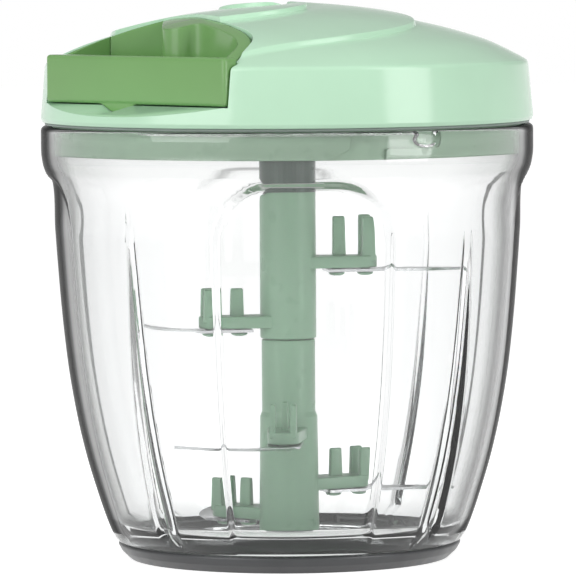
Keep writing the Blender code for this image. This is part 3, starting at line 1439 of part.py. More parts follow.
def make_drive_hub(home, tools, material):
    groove_low = HUB_TUBE_BOTTOM - WASHER_THICKNESS - GAP * 2
    groove = HUB_RADIUS - WASHER_GROOVE_DEPTH
    rim = SPOOL_BOTTOM - GAP
    profile = [
        (0.0, rim),
        (HUB_CUP_RADIUS - HUB_EDGE, rim),
        (HUB_CUP_RADIUS, rim - HUB_EDGE),
        (HUB_CUP_RADIUS, CUP_BASE),
        (HUB_RADIUS, CUP_BASE),
        (HUB_RADIUS, HUB_TUBE_BOTTOM),
        (groove, HUB_TUBE_BOTTOM),
        (groove, groove_low),
        (HUB_RADIUS, groove_low),
        (HUB_RADIUS, HUB_BOTTOM),
        (0.0, HUB_BOTTOM),
    ]
    hub = turned("drive_hub", profile, PIECE_STEPS * 2, home)
    floor = CUP_BASE + HUB_CUP_FLOOR
    cut(hub, prism("ratchet_cutter", ratchet_outline(), floor, rim + OVERRUN, tools))
    mouth = HUB_BOTTOM - OVERRUN
    socket_top = HUB_BOTTOM + HUB_SOCKET_DEPTH
    cut(hub, key_block("hub_socket", JOINT_KEY_RADIUS + GAP, mouth, socket_top, tools))
    return finish(hub, material)


def ratchet_outline():
    """The inside of the ratchet: each tooth's ramp falls away anticlockwise to a steep face."""
    points = []
    pitch = TURN / TOOTH_COUNT
    lead = PAWL_LEAD / PAWL_NOSE_OUTER
    for i in range(TOOTH_COUNT):
        face = PAWL_NOSE_ANGLE + lead + pitch * i
        points.append(polar(TOOTH_TIP, face))
        points.append(polar((TOOTH_TIP + TOOTH_ROOT) / 2, face + pitch / 2))
        points.append(polar(TOOTH_ROOT, face + pitch * TOOTH_RAMP_share))
    return points


def pawl_outline():
    """A pawl with its eye round the pin and its nose swung out to a tooth, for the pin on +X."""
    points = []
    for i in range(PAWL_EYE_STEPS + 1):
        angle = PAWL_EYE_START + PAWL_EYE_SWEEP * i / PAWL_EYE_STEPS
        x, y = polar(PAWL_EYE_RADIUS, angle)
        points.append((PAWL_CIRCLE + x, y))
    points.append(polar(PAWL_NOSE_OUTER - GAP, PAWL_NOSE_ANGLE * PAWL_SHOULDER_share))
    points.append(polar(PAWL_NOSE_OUTER, PAWL_NOSE_ANGLE))
    points.append(polar(PAWL_NOSE_INNER, PAWL_NOSE_ANGLE))
    return points


def make_pawls(home, tools, material):
    """Each pawl's own origin is on its pin."""
    top = SPOOL_BOTTOM - GAP
    bottom = top - PAWL_THICKNESS
    bore = PAWL_PIN_RADIUS + GAP
    for i in range(PAWL_COUNT):
        outline = [(x - PAWL_CIRCLE, y) for x, y in pawl_outline()]
        pawl = prism(f"pawl_{i + 1}", outline, bottom, top, home)
        hole = disc("pawl_hole", bore, bottom - OVERRUN, top + OVERRUN, SMALL_STEPS, tools)
        angle = TURN * i / PAWL_COUNT
        for obj in (pawl, hole):
            obj.location = (*polar(PAWL_CIRCLE, angle), 0.0)
            obj.rotation_euler = (0.0, 0.0, angle)
        cut(pawl, hole)
        finish(pawl, material)


def make_hub_washer(home, material):
    top = HUB_TUBE_BOTTOM - GAP
    inner = HUB_RADIUS - WASHER_GROOVE_DEPTH + GAP
    profile = [
        (WASHER_RADIUS, top),
        (WASHER_RADIUS, top - WASHER_THICKNESS),
        (inner, top - WASHER_THICKNESS),
        (inner, top),
    ]
    return finish(turned("hub_washer", profile, PIECE_STEPS, home), material)


def main():
    clear_scene()
    home = make_collection("pull_cord_chopper")
    tools = make_collection("cutters")

    clear_plastic = make_material("clear_plastic", (0.95, 0.96, 0.96), 0.05, transmission=1.0)
    mint = make_material("mint_plastic", (0.60, 0.84, 0.66), 0.25)
    sage = make_material("sage_plastic", (0.35, 0.50, 0.40), 0.35)
    green = make_material("green_plastic", (0.21, 0.40, 0.15), 0.3)
    dark = make_material("dark_plastic", (0.04, 0.06, 0.05), 0.4)
    soft = make_material("grey_rubber", (0.06, 0.065, 0.07), 0.7)
    silicone = make_material("silicone", (0.55, 0.60, 0.56), 0.6)
    steel = make_material("steel", (0.62, 0.63, 0.65), 0.25, metallic=1.0)
    white = make_material("white_nylon", (0.75, 0.76, 0.74), 0.5)

    make_bowl(home, tools, clear_plastic)
    make_base_ring(home, soft)
    make_centre_pin(home, steel)
    make_foot_bush(home, dark)
    make_lower_column(home, tools, sage)
    make_upper_column(home, tools, sage)
    rows = zip(ARM_ANGLES, ARM_HEIGHTS, BLADE_TIP_shares)
    for number, (angle, height, share) in enumerate(rows, start=1):
        make_blade(number, angle, height, bowl_outer(height) * share, home, tools, steel)
    make_lid_base(home, tools, sage)
    make_gasket(home, silicone)
    make_top_cover(home, tools, mint)
    make_pull_handle(home, tools, green)
    make_screws(home, tools, steel)
    make_arbor(home, steel)
    make_spool(home, tools, white)
    make_spool_cap(home, white)
    make_mainspring(home, steel)
    make_pull_cord(home, white)
    make_cord_knot(home, white)
    make_cord_eyelet(home, white)
    make_drive_hub(home, tools, dark)
    make_pawls(home, tools, white)
    make_hub_washer(home, white)


main()
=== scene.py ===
"""Looks of a manual pull cord food chopper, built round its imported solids.

Lengths are in metres and +Z is up. The origin is on the bowl's axis at its foot, and the
handle pulls out along -Y. Angles in plan are counted anticlockwise from +X.
"""

import json
import logging
import math
from dataclasses import dataclass, field
from enum import Enum
from typing import Sequence

import bmesh
import bpy
from mathutils import Matrix, Vector


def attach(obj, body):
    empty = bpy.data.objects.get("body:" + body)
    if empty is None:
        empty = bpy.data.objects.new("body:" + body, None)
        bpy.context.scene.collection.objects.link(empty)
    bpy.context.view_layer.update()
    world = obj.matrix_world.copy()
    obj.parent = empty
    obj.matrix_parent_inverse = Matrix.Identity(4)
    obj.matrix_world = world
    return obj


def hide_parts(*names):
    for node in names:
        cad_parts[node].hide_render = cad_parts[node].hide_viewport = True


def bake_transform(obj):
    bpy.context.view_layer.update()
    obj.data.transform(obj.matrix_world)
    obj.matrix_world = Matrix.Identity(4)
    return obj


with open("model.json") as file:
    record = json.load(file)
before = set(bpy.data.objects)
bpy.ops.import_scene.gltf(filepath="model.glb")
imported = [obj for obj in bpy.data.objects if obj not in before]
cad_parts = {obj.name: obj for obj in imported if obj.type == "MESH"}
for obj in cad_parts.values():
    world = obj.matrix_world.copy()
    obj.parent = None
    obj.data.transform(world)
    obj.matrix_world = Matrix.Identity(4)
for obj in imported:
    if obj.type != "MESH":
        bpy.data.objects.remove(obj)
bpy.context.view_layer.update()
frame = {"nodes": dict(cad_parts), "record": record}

LOG = logging.getLogger("chopper")
MM = 0.001
TURN = 2.0 * math.pi
MERGE = 0.004 * MM
OVERRUN = 4.0 * MM
GAP = 0.3 * MM

Point = tuple[float, float]
Corner = tuple[float, float, float]
Colour = tuple[float, float, float]
Socket = bpy.types.NodeSocket
Object = bpy.types.Object
Material = bpy.types.Material
BMesh = bmesh.types.BMesh
BMVert = bmesh.types.BMVert


class Operation(Enum):
    """What a boolean step does with its tool."""

    CUT = "DIFFERENCE"
    JOIN = "UNION"
    KEEP = "INTERSECT"


Step = tuple[Operation, Object]


class Side(Enum):
    """Which skin of the bowl's wall a point lies on."""

    OUTSIDE = "outside"
    INSIDE = "inside"
    RIM_INSIDE = "rim inside"


def soft_step(value: float, low: float, high: float) -> float:
    """Rises smoothly from 0 at low to 1 at high.

    Args:
        value: Where to read the step.
        low: Where the step starts.
        high: Where the step ends.

    Returns:
        A share from 0 to 1.
    """
    share = min(max((value - low) / (high - low), 0.0), 1.0)
    return share * share * (3.0 - 2.0 * share)


def read_curve(table: Sequence[Point], key: float) -> float:
    """Reads a smooth curve through given points, without overshoot between them.

    Args:
        table: Rows of (key, value) with rising keys.
        key: Where to read the curve.

    Returns:
        The value there, held level beyond both ends.
    """
    slopes = [(b[1] - a[1]) / (b[0] - a[0]) for a, b in zip(table, table[1:])]
    if key <= table[0][0]:
        return table[0][1]
    for i, (start, end) in enumerate(zip(table, table[1:])):
        if key > end[0]:
            continue
        near = _node_slope(slopes, i)
        far = _node_slope(slopes, i + 1)
        run = end[0] - start[0]
        share = (key - start[0]) / run
        rest = 1.0 - share
        bend = share * rest * run * (near * rest - far * share)
        ease = share * share * (3.0 - 2.0 * share)
        return start[1] + (end[1] - start[1]) * ease + bend
    return table[-1][1]


def _node_slope(slopes: Sequence[float], i: int) -> float:
    """The curve's slope at a table row: the harmonic mean of its two runs, or level at a peak.

    Args:
        slopes: The slope of each run between rows.
        i: The row.

    Returns:
        The slope there.
    """
    if i == 0:
        return slopes[0]
    if i == len(slopes):
        return slopes[-1]
    before, after = slopes[i - 1], slopes[i]
    if before * after <= 0.0:
        return 0.0
    return 2.0 * before * after / (before + after)


def polar(radius: float, angle: float) -> Point:
    """The plan point at a radius and an angle."""
    return (radius * math.cos(angle), radius * math.sin(angle))


def arc(centre: Point, radius: float, start: float, end: float, steps: int) -> list[Point]:
    """Points along an arc, both ends included.

    Args:
        centre: The arc's centre.
        radius: Its radius.
        start: The first point's angle.
        end: The last point's angle.
        steps: How many chords it has.

    Returns:
        The points in order.
    """
    points = []
    for i in range(steps + 1):
        x, y = polar(radius, start + (end - start) * i / steps)
        points.append((centre[0] + x, centre[1] + y))
    return points


def rounded(corners: Sequence[Corner], steps: int = 5) -> list[Point]:
    """Rounds the corners of a closed outline.

    Args:
        corners: (x, y, radius) rows; a radius of 0 leaves a corner sharp.
        steps: Chords on each rounded corner.

    Returns:
        The outline's points.
    """
    points: list[Point] = []
    for i, (x, y, radius) in enumerate(corners):
        here = Vector((x, y))
        if radius <= 0.0:
            points.append((x, y))
            continue
        before = Vector(corners[i - 1][:2]) - here
        after = Vector(corners[(i + 1) % len(corners)][:2]) - here
        opening = max(before.angle(after), 0.05)
        reach = min(radius / math.tan(opening / 2), before.length * 0.49, after.length * 0.49)
        start = here + before.normalized() * reach
        end = here + after.normalized() * reach
        for k in range(steps + 1):
            share = k / steps
            point = start.lerp(here, share).lerp(here.lerp(end, share), share)
            points.append((point.x, point.y))
    return points


def offset(outline: Sequence[Point], distance: float) -> list[Point]:
    """Moves each side of an anticlockwise outline outwards, with mitred corners.

    Args:
        outline: The outline's points.
        distance: How far each side moves; inwards when negative.

    Returns:
        The moved outline.
    """
    moved = []
    for i, point in enumerate(outline):
        here = Vector(point)
        first = (here - Vector(outline[i - 1])).normalized()
        second = (Vector(outline[(i + 1) % len(outline)]) - here).normalized()
        side = Vector((first.y, -first.x))
        mitre = (side + Vector((second.y, -second.x))).normalized()
        shifted = here + mitre * (distance / max(mitre.dot(side), 0.5))
        moved.append((shifted.x, shifted.y))
    return moved


def spun(profile: Sequence[Point], steps: int) -> BMesh:
    """Spins a (radius, height) outline about the Z axis into a closed skin.

    Args:
        profile: From pole to pole, or a closed ring's outline that keeps off the axis.
        steps: Chords round the full turn.

    Returns:
        The skin as a bmesh.
    """
    bm = bmesh.new()
    verts = [bm.verts.new((radius, 0.0, height)) for radius, height in profile]
    pairs = list(zip(verts, verts[1:]))
    if profile[0][0] > MERGE:
        pairs.append((verts[-1], verts[0]))
    edges = [bm.edges.new(pair) for pair in pairs]
    bmesh.ops.spin(
        bm, geom=verts + edges, axis=(0.0, 0.0, 1.0), cent=(0.0, 0.0, 0.0),
        angle=TURN, steps=steps, use_merge=True,
    )
    bmesh.ops.remove_doubles(bm, verts=bm.verts, dist=MERGE)
    return bm


def rod(radius: float, bottom: float, top: float, steps: int) -> BMesh:
    """An upright round rod on the Z axis."""
    return spun([(0.0, top), (radius, top), (radius, bottom), (0.0, bottom)], steps)


def disc_outline(centre: Point, radius: float, sides: int) -> list[Point]:
    """The plan outline of a round post or hole."""
    return arc(centre, radius, 0.0, TURN * (sides - 1) / sides, sides - 1)


def points_of(grown: dict[str, list]) -> list[BMVert]:
    """The points among the geometry that an extrusion made."""
    return [item for item in grown["geom"] if isinstance(item, BMVert)]


def extruded(outline: Sequence[Point], bottom: float, top: float) -> BMesh:
    """An upright block over a plan outline.

    Args:
        outline: Plan points in order.
        bottom: Height of its underside.
        top: Height of its upper side.

    Returns:
        The block as a bmesh.
    """
    bm = bmesh.new()
    face = bm.faces.new([bm.verts.new((x, y, bottom)) for x, y in outline])
    grown = bmesh.ops.extrude_face_region(bm, geom=[face])
    bmesh.ops.translate(bm, verts=points_of(grown), vec=(0.0, 0.0, top - bottom))
    return bm


def soften(bm: BMesh, width: float, segments: int, steepest: float = 0.5) -> None:
    """Bevels every edge where two faces meet at more than an angle.

    Args:
        bm: The mesh to change.
        width: The bevel's width.
        segments: Its rows of faces.
        steepest: Edges that bend less than this many radians stay.
    """
    bmesh.ops.recalc_face_normals(bm, faces=bm.faces)
    edges = [edge for edge in bm.edges if edge.is_manifold and edge.calc_face_angle(0.0) > steepest]
    bmesh.ops.bevel(
        bm, geom=edges, offset=width, offset_type="OFFSET", affect="EDGES",
        segments=segments, profile=0.5, material=-1, clamp_overlap=True,
    )


def move(bm: BMesh, matrix: Matrix) -> BMesh:
    """Transforms every point of a mesh and returns it."""
    bmesh.ops.transform(bm, matrix=matrix, verts=bm.verts)
    return bm


def make_object(
    bm: BMesh, name: str, material: Material | None = None, sharp: float = 0.6
) -> Object:
    """Puts a finished bmesh into an object at the origin, smooth but for its sharp edges.

    Args:
        bm: The mesh, which is freed.
        name: The object's name.
        material: Its finish, or None for a tool that is only used up.
        sharp: The least bend, in radians, of an edge that stays sharp.

    Returns:
        The new object.
    """
    bmesh.ops.recalc_face_normals(bm, faces=bm.faces)
    mesh = bpy.data.meshes.new(name)
    bm.to_mesh(mesh)
    bm.free()
    if material is not None:
        mesh.materials.append(material)
    mesh.shade_smooth()
    mesh.set_sharp_from_angle(angle=sharp)
    obj = bpy.data.objects.new(name, mesh)
    bpy.context.scene.collection.objects.link(obj)
    return obj


def block(outline: Sequence[Point], bottom: float, top: float) -> Object:
    """A plain upright tool over a plan outline."""
    return make_object(extruded(outline, bottom, top), "block_tool")


def carve(
    target: Object, steps: Sequence[Step], sharp: float = 0.6
) -> Object:
    """Runs boolean steps on an object and uses their tools up.

    Args:
        target: The object to carve.
        steps: The operations in order, each with its tool.
        sharp: The least bend, in radians, of an edge that stays sharp.

    Returns:
        The carved object.
    """
    for operation, tool in steps:
        modifier = target.modifiers.new(operation.name.title(), "BOOLEAN")
        modifier.operation = operation.value
        modifier.solver = "EXACT"
        modifier.object = tool
    graph = bpy.context.evaluated_depsgraph_get()
    mesh = bpy.data.meshes.new_from_object(target.evaluated_get(graph))
    target.modifiers.clear()
    target.data = mesh
    for _, tool in steps:
        bpy.data.objects.remove(tool)
    bm = bmesh.new()
    bm.from_mesh(mesh)
    bmesh.ops.dissolve_degenerate(bm, edges=bm.edges, dist=MERGE)
    bm.to_mesh(mesh)
    bm.free()
    mesh.shade_smooth()
    mesh.set_sharp_from_angle(angle=sharp)
    return target


def tube(path: Sequence[Vector], radius: float, sides: int = 14) -> BMesh:
    """A round cord along a path, its UV map round it in U and along it in V.

    Args:
        path: The cord's middle line.
        radius: The cord's radius.
        sides: Faces round it.

    Returns:
        The cord as a bmesh, closed at both ends.
    """
    bm = bmesh.new()
    layer = bm.loops.layers.uv.new("UVMap")
    rings = []
    run = [0.0]
    across = (path[1] - path[0]).orthogonal().normalized()
    for i, point in enumerate(path):
        along = (path[min(i + 1, len(path) - 1)] - path[max(i - 1, 0)]).normalized()
        across = (across - along * across.dot(along)).normalized()
        other = along.cross(across)
        ring = []
        for k in range(sides):
            x, y = polar(radius, TURN * k / sides)
            ring.append(bm.verts.new(point + across * x + other * y))
        rings.append(ring)
        if i:
            run.append(run[-1] + (point - path[i - 1]).length / (TURN * radius))
    for i in range(len(path) - 1):
        for k in range(sides):
            after = (k + 1) % sides
            face = bm.faces.new((rings[i][k], rings[i][after], rings[i + 1][after], rings[i + 1][k]))
            places = ((k, i), (k + 1, i), (k + 1, i + 1), (k, i + 1))
            for loop, (side, row) in zip(face.loops, places):
                loop[layer].uv = (side / sides, run[row])
    bm.faces.new(rings[0][::-1])
    bm.faces.new(rings[-1])
    return bm


def seat(obj: Object, body: str, slot: str, *nodes: str) -> Object:
    """Lets a piece ride on its body in place of the solids it stands for, and logs it.

    Args:
        obj: The finished piece.
        body: The body it moves with.
        slot: The record's finish for the piece; not used.
        nodes: The solids it replaces.

    Returns:
        The same piece.
    """
    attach(obj, body)
    if nodes:
        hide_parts(*nodes)
    LOG.info("%s rides on %s: %d faces", obj.name, body, len(obj.data.polygons))
    return obj


NOISE_SPAN: Point = (0.3, 0.7)


class NodeTree:
    """A material's or a world's nodes, written one line a node."""

    def __init__(self, name: str, surround: bpy.types.NodeTree | None = None) -> None:
        """Starts a material that has only its output, or clears a world's nodes.

        Args:
            name: The material's name.
            surround: The world's nodes, where the tree is for a world.
        """
        self.material = None
        if surround is None:
            self.material = bpy.data.materials.new(name)
            self.material.use_nodes = True
        self.tree = surround or self.material.node_tree
        self.tree.nodes.clear()
        kind = "World" if surround else "Material"
        self.output = self.tree.nodes.new(f"ShaderNodeOutput{kind}")

    def add(self, kind: str, links: dict[str, Socket] | None = None, **values: object) -> bpy.types.Node:
        """Adds a node.

        Args:
            kind: The node's type, without its ShaderNode prefix.
            links: Input names, with the sockets that feed them.
            values: Properties of the node, or inputs with their spaces as underscores.

        Returns:
            The new node.
        """
        node = self.tree.nodes.new("ShaderNode" + kind)
        for name, value in values.items():
            if hasattr(node, name):
                setattr(node, name, value)
            else:
                node.inputs[name.replace("_", " ")].default_value = value
        for name, socket in (links or {}).items():
            self.tree.links.new(socket, node.inputs[name])
        return node

    def place(self) -> Socket:
        """The object's own coordinates."""
        return self.add("TexCoord").outputs["Object"]

    def stretched(self, scale: Corner) -> Socket:
        """The object's coordinates, scaled on each axis."""
        return self.add("Mapping", {"Vector": self.place()}, Scale=scale).outputs["Vector"]

    def share_of(self, socket: Socket, low: float, high: float) -> Socket:
        """How far a value has gone from low to high, from 0 to 1."""
        return self.add("MapRange", {"Value": socket}, From_Min=low, From_Max=high).outputs["Result"]

    def math(self, operation: str, first: Socket, second: Socket | float) -> Socket:
        """Works out one value from two, the second of them a socket or a plain number.

        Args:
            operation: The operation's name.
            first: One value.
            second: The other.

        Returns:
            The result's socket.
        """
        node = self.add("Math", operation=operation)
        self.tree.links.new(first, node.inputs[0])
        if isinstance(second, float):
            node.inputs[1].default_value = second
        else:
            self.tree.links.new(second, node.inputs[1])
        return node.outputs[0]

    def noise(self, scale: float, detail: float = 3.0, where: Socket | None = None) -> Socket:
        """Even noise from 0 to 1, its scale in cycles a metre."""
        node = self.add("TexNoise", {"Vector": where or self.place()}, Scale=scale, Detail=detail)
        return node.outputs["Fac"]

    def span(self, socket: Socket, low: float, high: float) -> Socket:
        """Spreads noise between two values.

        Args:
            socket: The value to read.
            low: The least value.
            high: The greatest.

        Returns:
            The spread value's socket.
        """
        start, end = NOISE_SPAN
        node = self.add("MapRange", {"Value": socket}, From_Min=start, From_Max=end, To_Min=low, To_Max=high)
        return node.outputs["Result"]

    def tint(self, socket: Socket, first: Colour, second: Colour) -> Socket:
        """Runs from one colour to another as a value goes from 0 to 1.

        Args:
            socket: The value to read.
            first: The colour at 0.
            second: The colour at 1.

        Returns:
            The colour's socket.
        """
        ramp = self.add("ValToRGB", {"Fac": socket})
        for element, position, colour in zip(ramp.color_ramp.elements, NOISE_SPAN, (first, second)):
            element.position = position
            element.color = (*colour, 1.0)
        return ramp.outputs["Color"]

    def levels(self, socket: Socket, rows: Sequence[Point]) -> Socket:
        """Reads a grey level from (place, level) rows with rising places.

        Args:
            socket: The value to read.
            rows: The (place, level) rows.

        Returns:
            The level's socket.
        """
        ramp = self.add("ValToRGB", {"Fac": socket})
        elements = ramp.color_ramp.elements
        elements[1].position = rows[-1][0]
        elements[0].position = rows[0][0]
        for place, _ in rows[1:-1]:
            elements.new(place)
        for element, (_, level) in zip(elements, rows):
            element.color = (level, level, level, 1.0)
        return ramp.outputs["Color"]

    def bump(self, socket: Socket, depth: float, under: Socket | None = None) -> Socket:
        """A bump of a depth in metres, over an earlier normal if there is one.

        Args:
            socket: The height.
            depth: Its full depth.
            under: The earlier normal.

        Returns:
            The normal's socket.
        """
        links = {"Height": socket}
        if under is not None:
            links["Normal"] = under
        return self.add("Bump", links, Strength=1.0, Distance=depth).outputs["Normal"]

    def eased(self, radius: float) -> Socket:
        """A normal that rounds sharp edges by a radius."""
        return self.add("Bevel", samples=6, Radius=radius).outputs["Normal"]

    def finish(self, shader: bpy.types.Node, volume: bpy.types.Node | None = None) -> Material | None:
        """Links the surface, and a volume if there is one, to the output.

        Args:
            shader: The surface.
            volume: The inside.

        Returns:
            The material, or None for a world.
        """
        self.tree.links.new(shader.outputs[0], self.output.inputs["Surface"])
        if volume is not None:
            self.tree.links.new(volume.outputs[0], self.output.inputs["Volume"])
        return self.material


def lighter(colour: Colour, share: float) -> Colour:
    """A colour made lighter by a share, or darker when the share is negative."""
    return tuple(min(max(value * (1.0 + share), 0.0), 1.0) for value in colour)


@dataclass(frozen=True)
class MouldedPlastic:
    """Opaque moulded plastic: a faint cloud in its colour, and a skin that is not quite flat."""

    name: str
    colour: Colour
    roughness: float = 0.16
    cloud: float = 0.03
    skin_depth: float = 0.010 * MM
    edge: float = 0.25 * MM
    glow: float = 0.0
    glow_reach: float = 1.5 * MM
    cloud_scale: float = 35.0
    polish_scale: float = 160.0
    polish_shares: Point = (0.85, 1.2)
    wave_scale: float = 120.0
    grain_scale: float = 2600.0
    grain_share: float = 0.125

    def material(self) -> Material:
        """Builds the material.

        Returns:
            The new material.
        """
        tree = NodeTree(self.name)
        deep = lighter(self.colour, -self.cloud)
        pale = lighter(self.colour, self.cloud)
        low, high = (self.roughness * share for share in self.polish_shares)
        waves = tree.bump(tree.noise(self.wave_scale, 2.0), self.skin_depth, tree.eased(self.edge))
        grain = tree.noise(self.grain_scale, 2.0)
        sockets = {
            "Base Color": tree.tint(tree.noise(self.cloud_scale), deep, pale),
            "Roughness": tree.span(tree.noise(self.polish_scale, 4.0), low, high),
            "Normal": tree.bump(grain, self.skin_depth * self.grain_share, waves),
        }
        shader = tree.add(
            "BsdfPrincipled", sockets, IOR=1.5, Subsurface_Weight=self.glow,
            Subsurface_Radius=(1.0, 1.0, 1.0), Subsurface_Scale=self.glow_reach,
        )
        return tree.finish(shader)


@dataclass(frozen=True)
class ClearPlastic:
    """Polished clear plastic that greys where light runs a long way inside it. Its walls are also painted dark
    and less clear at grazing angles, as painted shade for dark surroundings refracted at its edges.
    """

    name: str
    tint: Colour = (0.62, 0.66, 0.66)
    density: float = 45.0
    flow_depth: float = 0.006 * MM
    flow_scale: float = 28.0
    flow_stretch: Corner = (1.0, 1.0, 0.35)
    polish_scale: float = 90.0
    roughness: Point = (0.008, 0.03)
    # Painted shade: base colour levels that darken the walls toward grazing angles.
    painted_edge_shade_levels: tuple[Point, ...] = (
        (0.28, 1.00),
        (0.45, 0.86),
        (0.60, 0.76),
        (0.69, 0.50),
        (0.75, 0.10),
        (0.80, 0.02),
        (0.88, 0.03),
        (1.00, 0.15),
    )
    # Painted shade: clearness levels that let the darkened edge colour show at grazing angles.
    painted_edge_clear_levels: tuple[Point, ...] = ((0.60, 1.0), (0.77, 0.15), (0.84, 0.15), (1.00, 0.25))
    floor_height: float = 5.2 * MM
    wall_height: float = 7.5 * MM

    def material(self) -> Material:
        """Builds the material.

        Returns:
            The new material.
        """
        tree = NodeTree(self.name)
        flow = tree.noise(self.flow_scale, 2.0, tree.stretched(self.flow_stretch))
        height = tree.add("SeparateXYZ", {"Vector": tree.place()}).outputs["Z"]
        wall = tree.share_of(height, self.floor_height, self.wall_height)
        # Painted shade share: it grows toward grazing angles on the walls above the floor.
        painted_edge_share = tree.math("MULTIPLY", tree.add("LayerWeight", Blend=0.5).outputs["Facing"], wall)
        sockets = {
            "Base Color": tree.levels(painted_edge_share, self.painted_edge_shade_levels),
            "Transmission Weight": tree.levels(painted_edge_share, self.painted_edge_clear_levels),
            "Roughness": tree.span(tree.noise(self.polish_scale, 3.0), *self.roughness),
            "Normal": tree.bump(flow, self.flow_depth),
        }
        shader = tree.add("BsdfPrincipled", sockets, Specular_IOR_Level=0.0, IOR=1.52)
        volume = tree.add("VolumeAbsorption", Density=self.density, Color=(*self.tint, 1.0))
        return tree.finish(shader, volume)


@dataclass(frozen=True)
class BrushedSteel:
    """Steel with fine lines along one direction in plan."""

    name: str
    colour: Colour = (0.60, 0.61, 0.62)
    roughness: float = 0.22
    line_scale: float = 90.0
    line_stretch: Corner = (1.0, 40.0, 6.0)
    line_depth: float = 0.004 * MM
    line_tones: Point = (-0.12, 0.1)
    polish_shares: Point = (0.7, 1.5)

    def material(self) -> Material:
        """Builds the material.

        Returns:
            The new material.
        """
        tree = NodeTree(self.name)
        lines = tree.noise(self.line_scale, 4.0, tree.stretched(self.line_stretch))
        deep, pale = (lighter(self.colour, tone) for tone in self.line_tones)
        low, high = (self.roughness * share for share in self.polish_shares)
        sockets = {
            "Base Color": tree.tint(lines, deep, pale),
            "Roughness": tree.span(lines, low, high),
            "Normal": tree.bump(lines, self.line_depth),
        }
        return tree.finish(tree.add("BsdfPrincipled", sockets, Metallic=1.0))


@dataclass(frozen=True)
class SoftRubber:
    """Matt rubber with a fine grain and a dusty bloom."""

    name: str
    colour: Colour = (0.060, 0.062, 0.065)
    roughness: float = 0.36
    bloom_scale: float = 60.0
    bloom_tones: Point = (-0.15, 0.35)
    polish_scale: float = 400.0
    polish_shares: Point = (0.85, 1.15)
    grain_scale: float = 2200.0
    grain_depth: float = 0.006 * MM

    def material(self) -> Material:
        """Builds the material.

        Returns:
            The new material.
        """
        tree = NodeTree(self.name)
        deep, pale = (lighter(self.colour, tone) for tone in self.bloom_tones)
        low, high = (self.roughness * share for share in self.polish_shares)
        sockets = {
            "Base Color": tree.tint(tree.noise(self.bloom_scale, 5.0), deep, pale),
            "Roughness": tree.span(tree.noise(self.polish_scale, 3.0), low, high),
            "Normal": tree.bump(tree.noise(self.grain_scale, 3.0), self.grain_depth),
        }
        return tree.finish(tree.add("BsdfPrincipled", sockets, Sheen_Weight=0.15))


@dataclass(frozen=True)
class BraidedCord:
    """Braid over a round cord, with painted shade darkening the hollows between strands. Its UV map runs round
    the cord in U and along it in V.
    """

    name: str
    colour: Colour = (0.80, 0.80, 0.77)
    strands: float = 8.0
    painted_hollow_shade: float = -0.45
    braid_depth: float = 0.08 * MM

    def material(self) -> Material:
        """Builds the material.

        Returns:
            The new material.
        """
        tree = NodeTree(self.name)
        place = tree.add("UVMap", uv_map="UVMap").outputs["UV"]
        heights = []
        for lean in (1.0, -1.0):
            turned = tree.add("Mapping", {"Vector": place}, Rotation=(0.0, 0.0, lean * math.pi / 4))
            wave = tree.add("TexWave", {"Vector": turned.outputs["Vector"]}, Scale=self.strands / 2)
            heights.append(wave.outputs["Fac"])
        weave = tree.math("MAXIMUM", *heights)
        sockets = {
            # Painted shade: the colour runs darker toward the hollows between the strands.
            "Base Color": tree.tint(weave, lighter(self.colour, self.painted_hollow_shade), self.colour),
            "Normal": tree.bump(weave, self.braid_depth),
        }
        return tree.finish(tree.add("BsdfPrincipled", sockets, Roughness=0.75, Sheen_Weight=0.3))


@dataclass
class Finishes:
    """The object's finishes, each built once."""

    clear: Material = field(default_factory=ClearPlastic("clear_plastic").material)
    mint: Material = field(
        default_factory=MouldedPlastic("mint_plastic", (0.555, 0.835, 0.615), 0.14, glow=0.05).material
    )
    sage: Material = field(default_factory=MouldedPlastic("sage_plastic", (0.35, 0.53, 0.37), 0.3).material)
    # A darker copy of the sage plastic for the column: painted shade that sets the column's tone to its light
    # inside the bowl.
    column: Material = field(
        default_factory=MouldedPlastic("shaded_sage_column_plastic", (0.257, 0.45, 0.297), 0.3, glow=0.05).material
    )
    green: Material = field(
        default_factory=MouldedPlastic("green_plastic", (0.195, 0.40, 0.135), 0.16, edge=0.7 * MM).material
    )
    dark: Material = field(default_factory=MouldedPlastic("dark_plastic", (0.030, 0.065, 0.045), 0.3).material)
    rubber: Material = field(default_factory=SoftRubber("grey_rubber").material)
    seal: Material = field(
        default_factory=MouldedPlastic("silicone_seal", (0.30, 0.36, 0.33), 0.5, skin_depth=0.004 * MM).material
    )
    nylon: Material = field(
        default_factory=MouldedPlastic("white_nylon", (0.74, 0.75, 0.73), 0.4, glow=0.1).material
    )
    steel: Material = field(default_factory=BrushedSteel("pin_steel", roughness=0.18).material)
    blade: Material = field(default_factory=BrushedSteel("blade_steel", roughness=0.2).material)
    cord: Material = field(default_factory=BraidedCord("braided_cord").material)


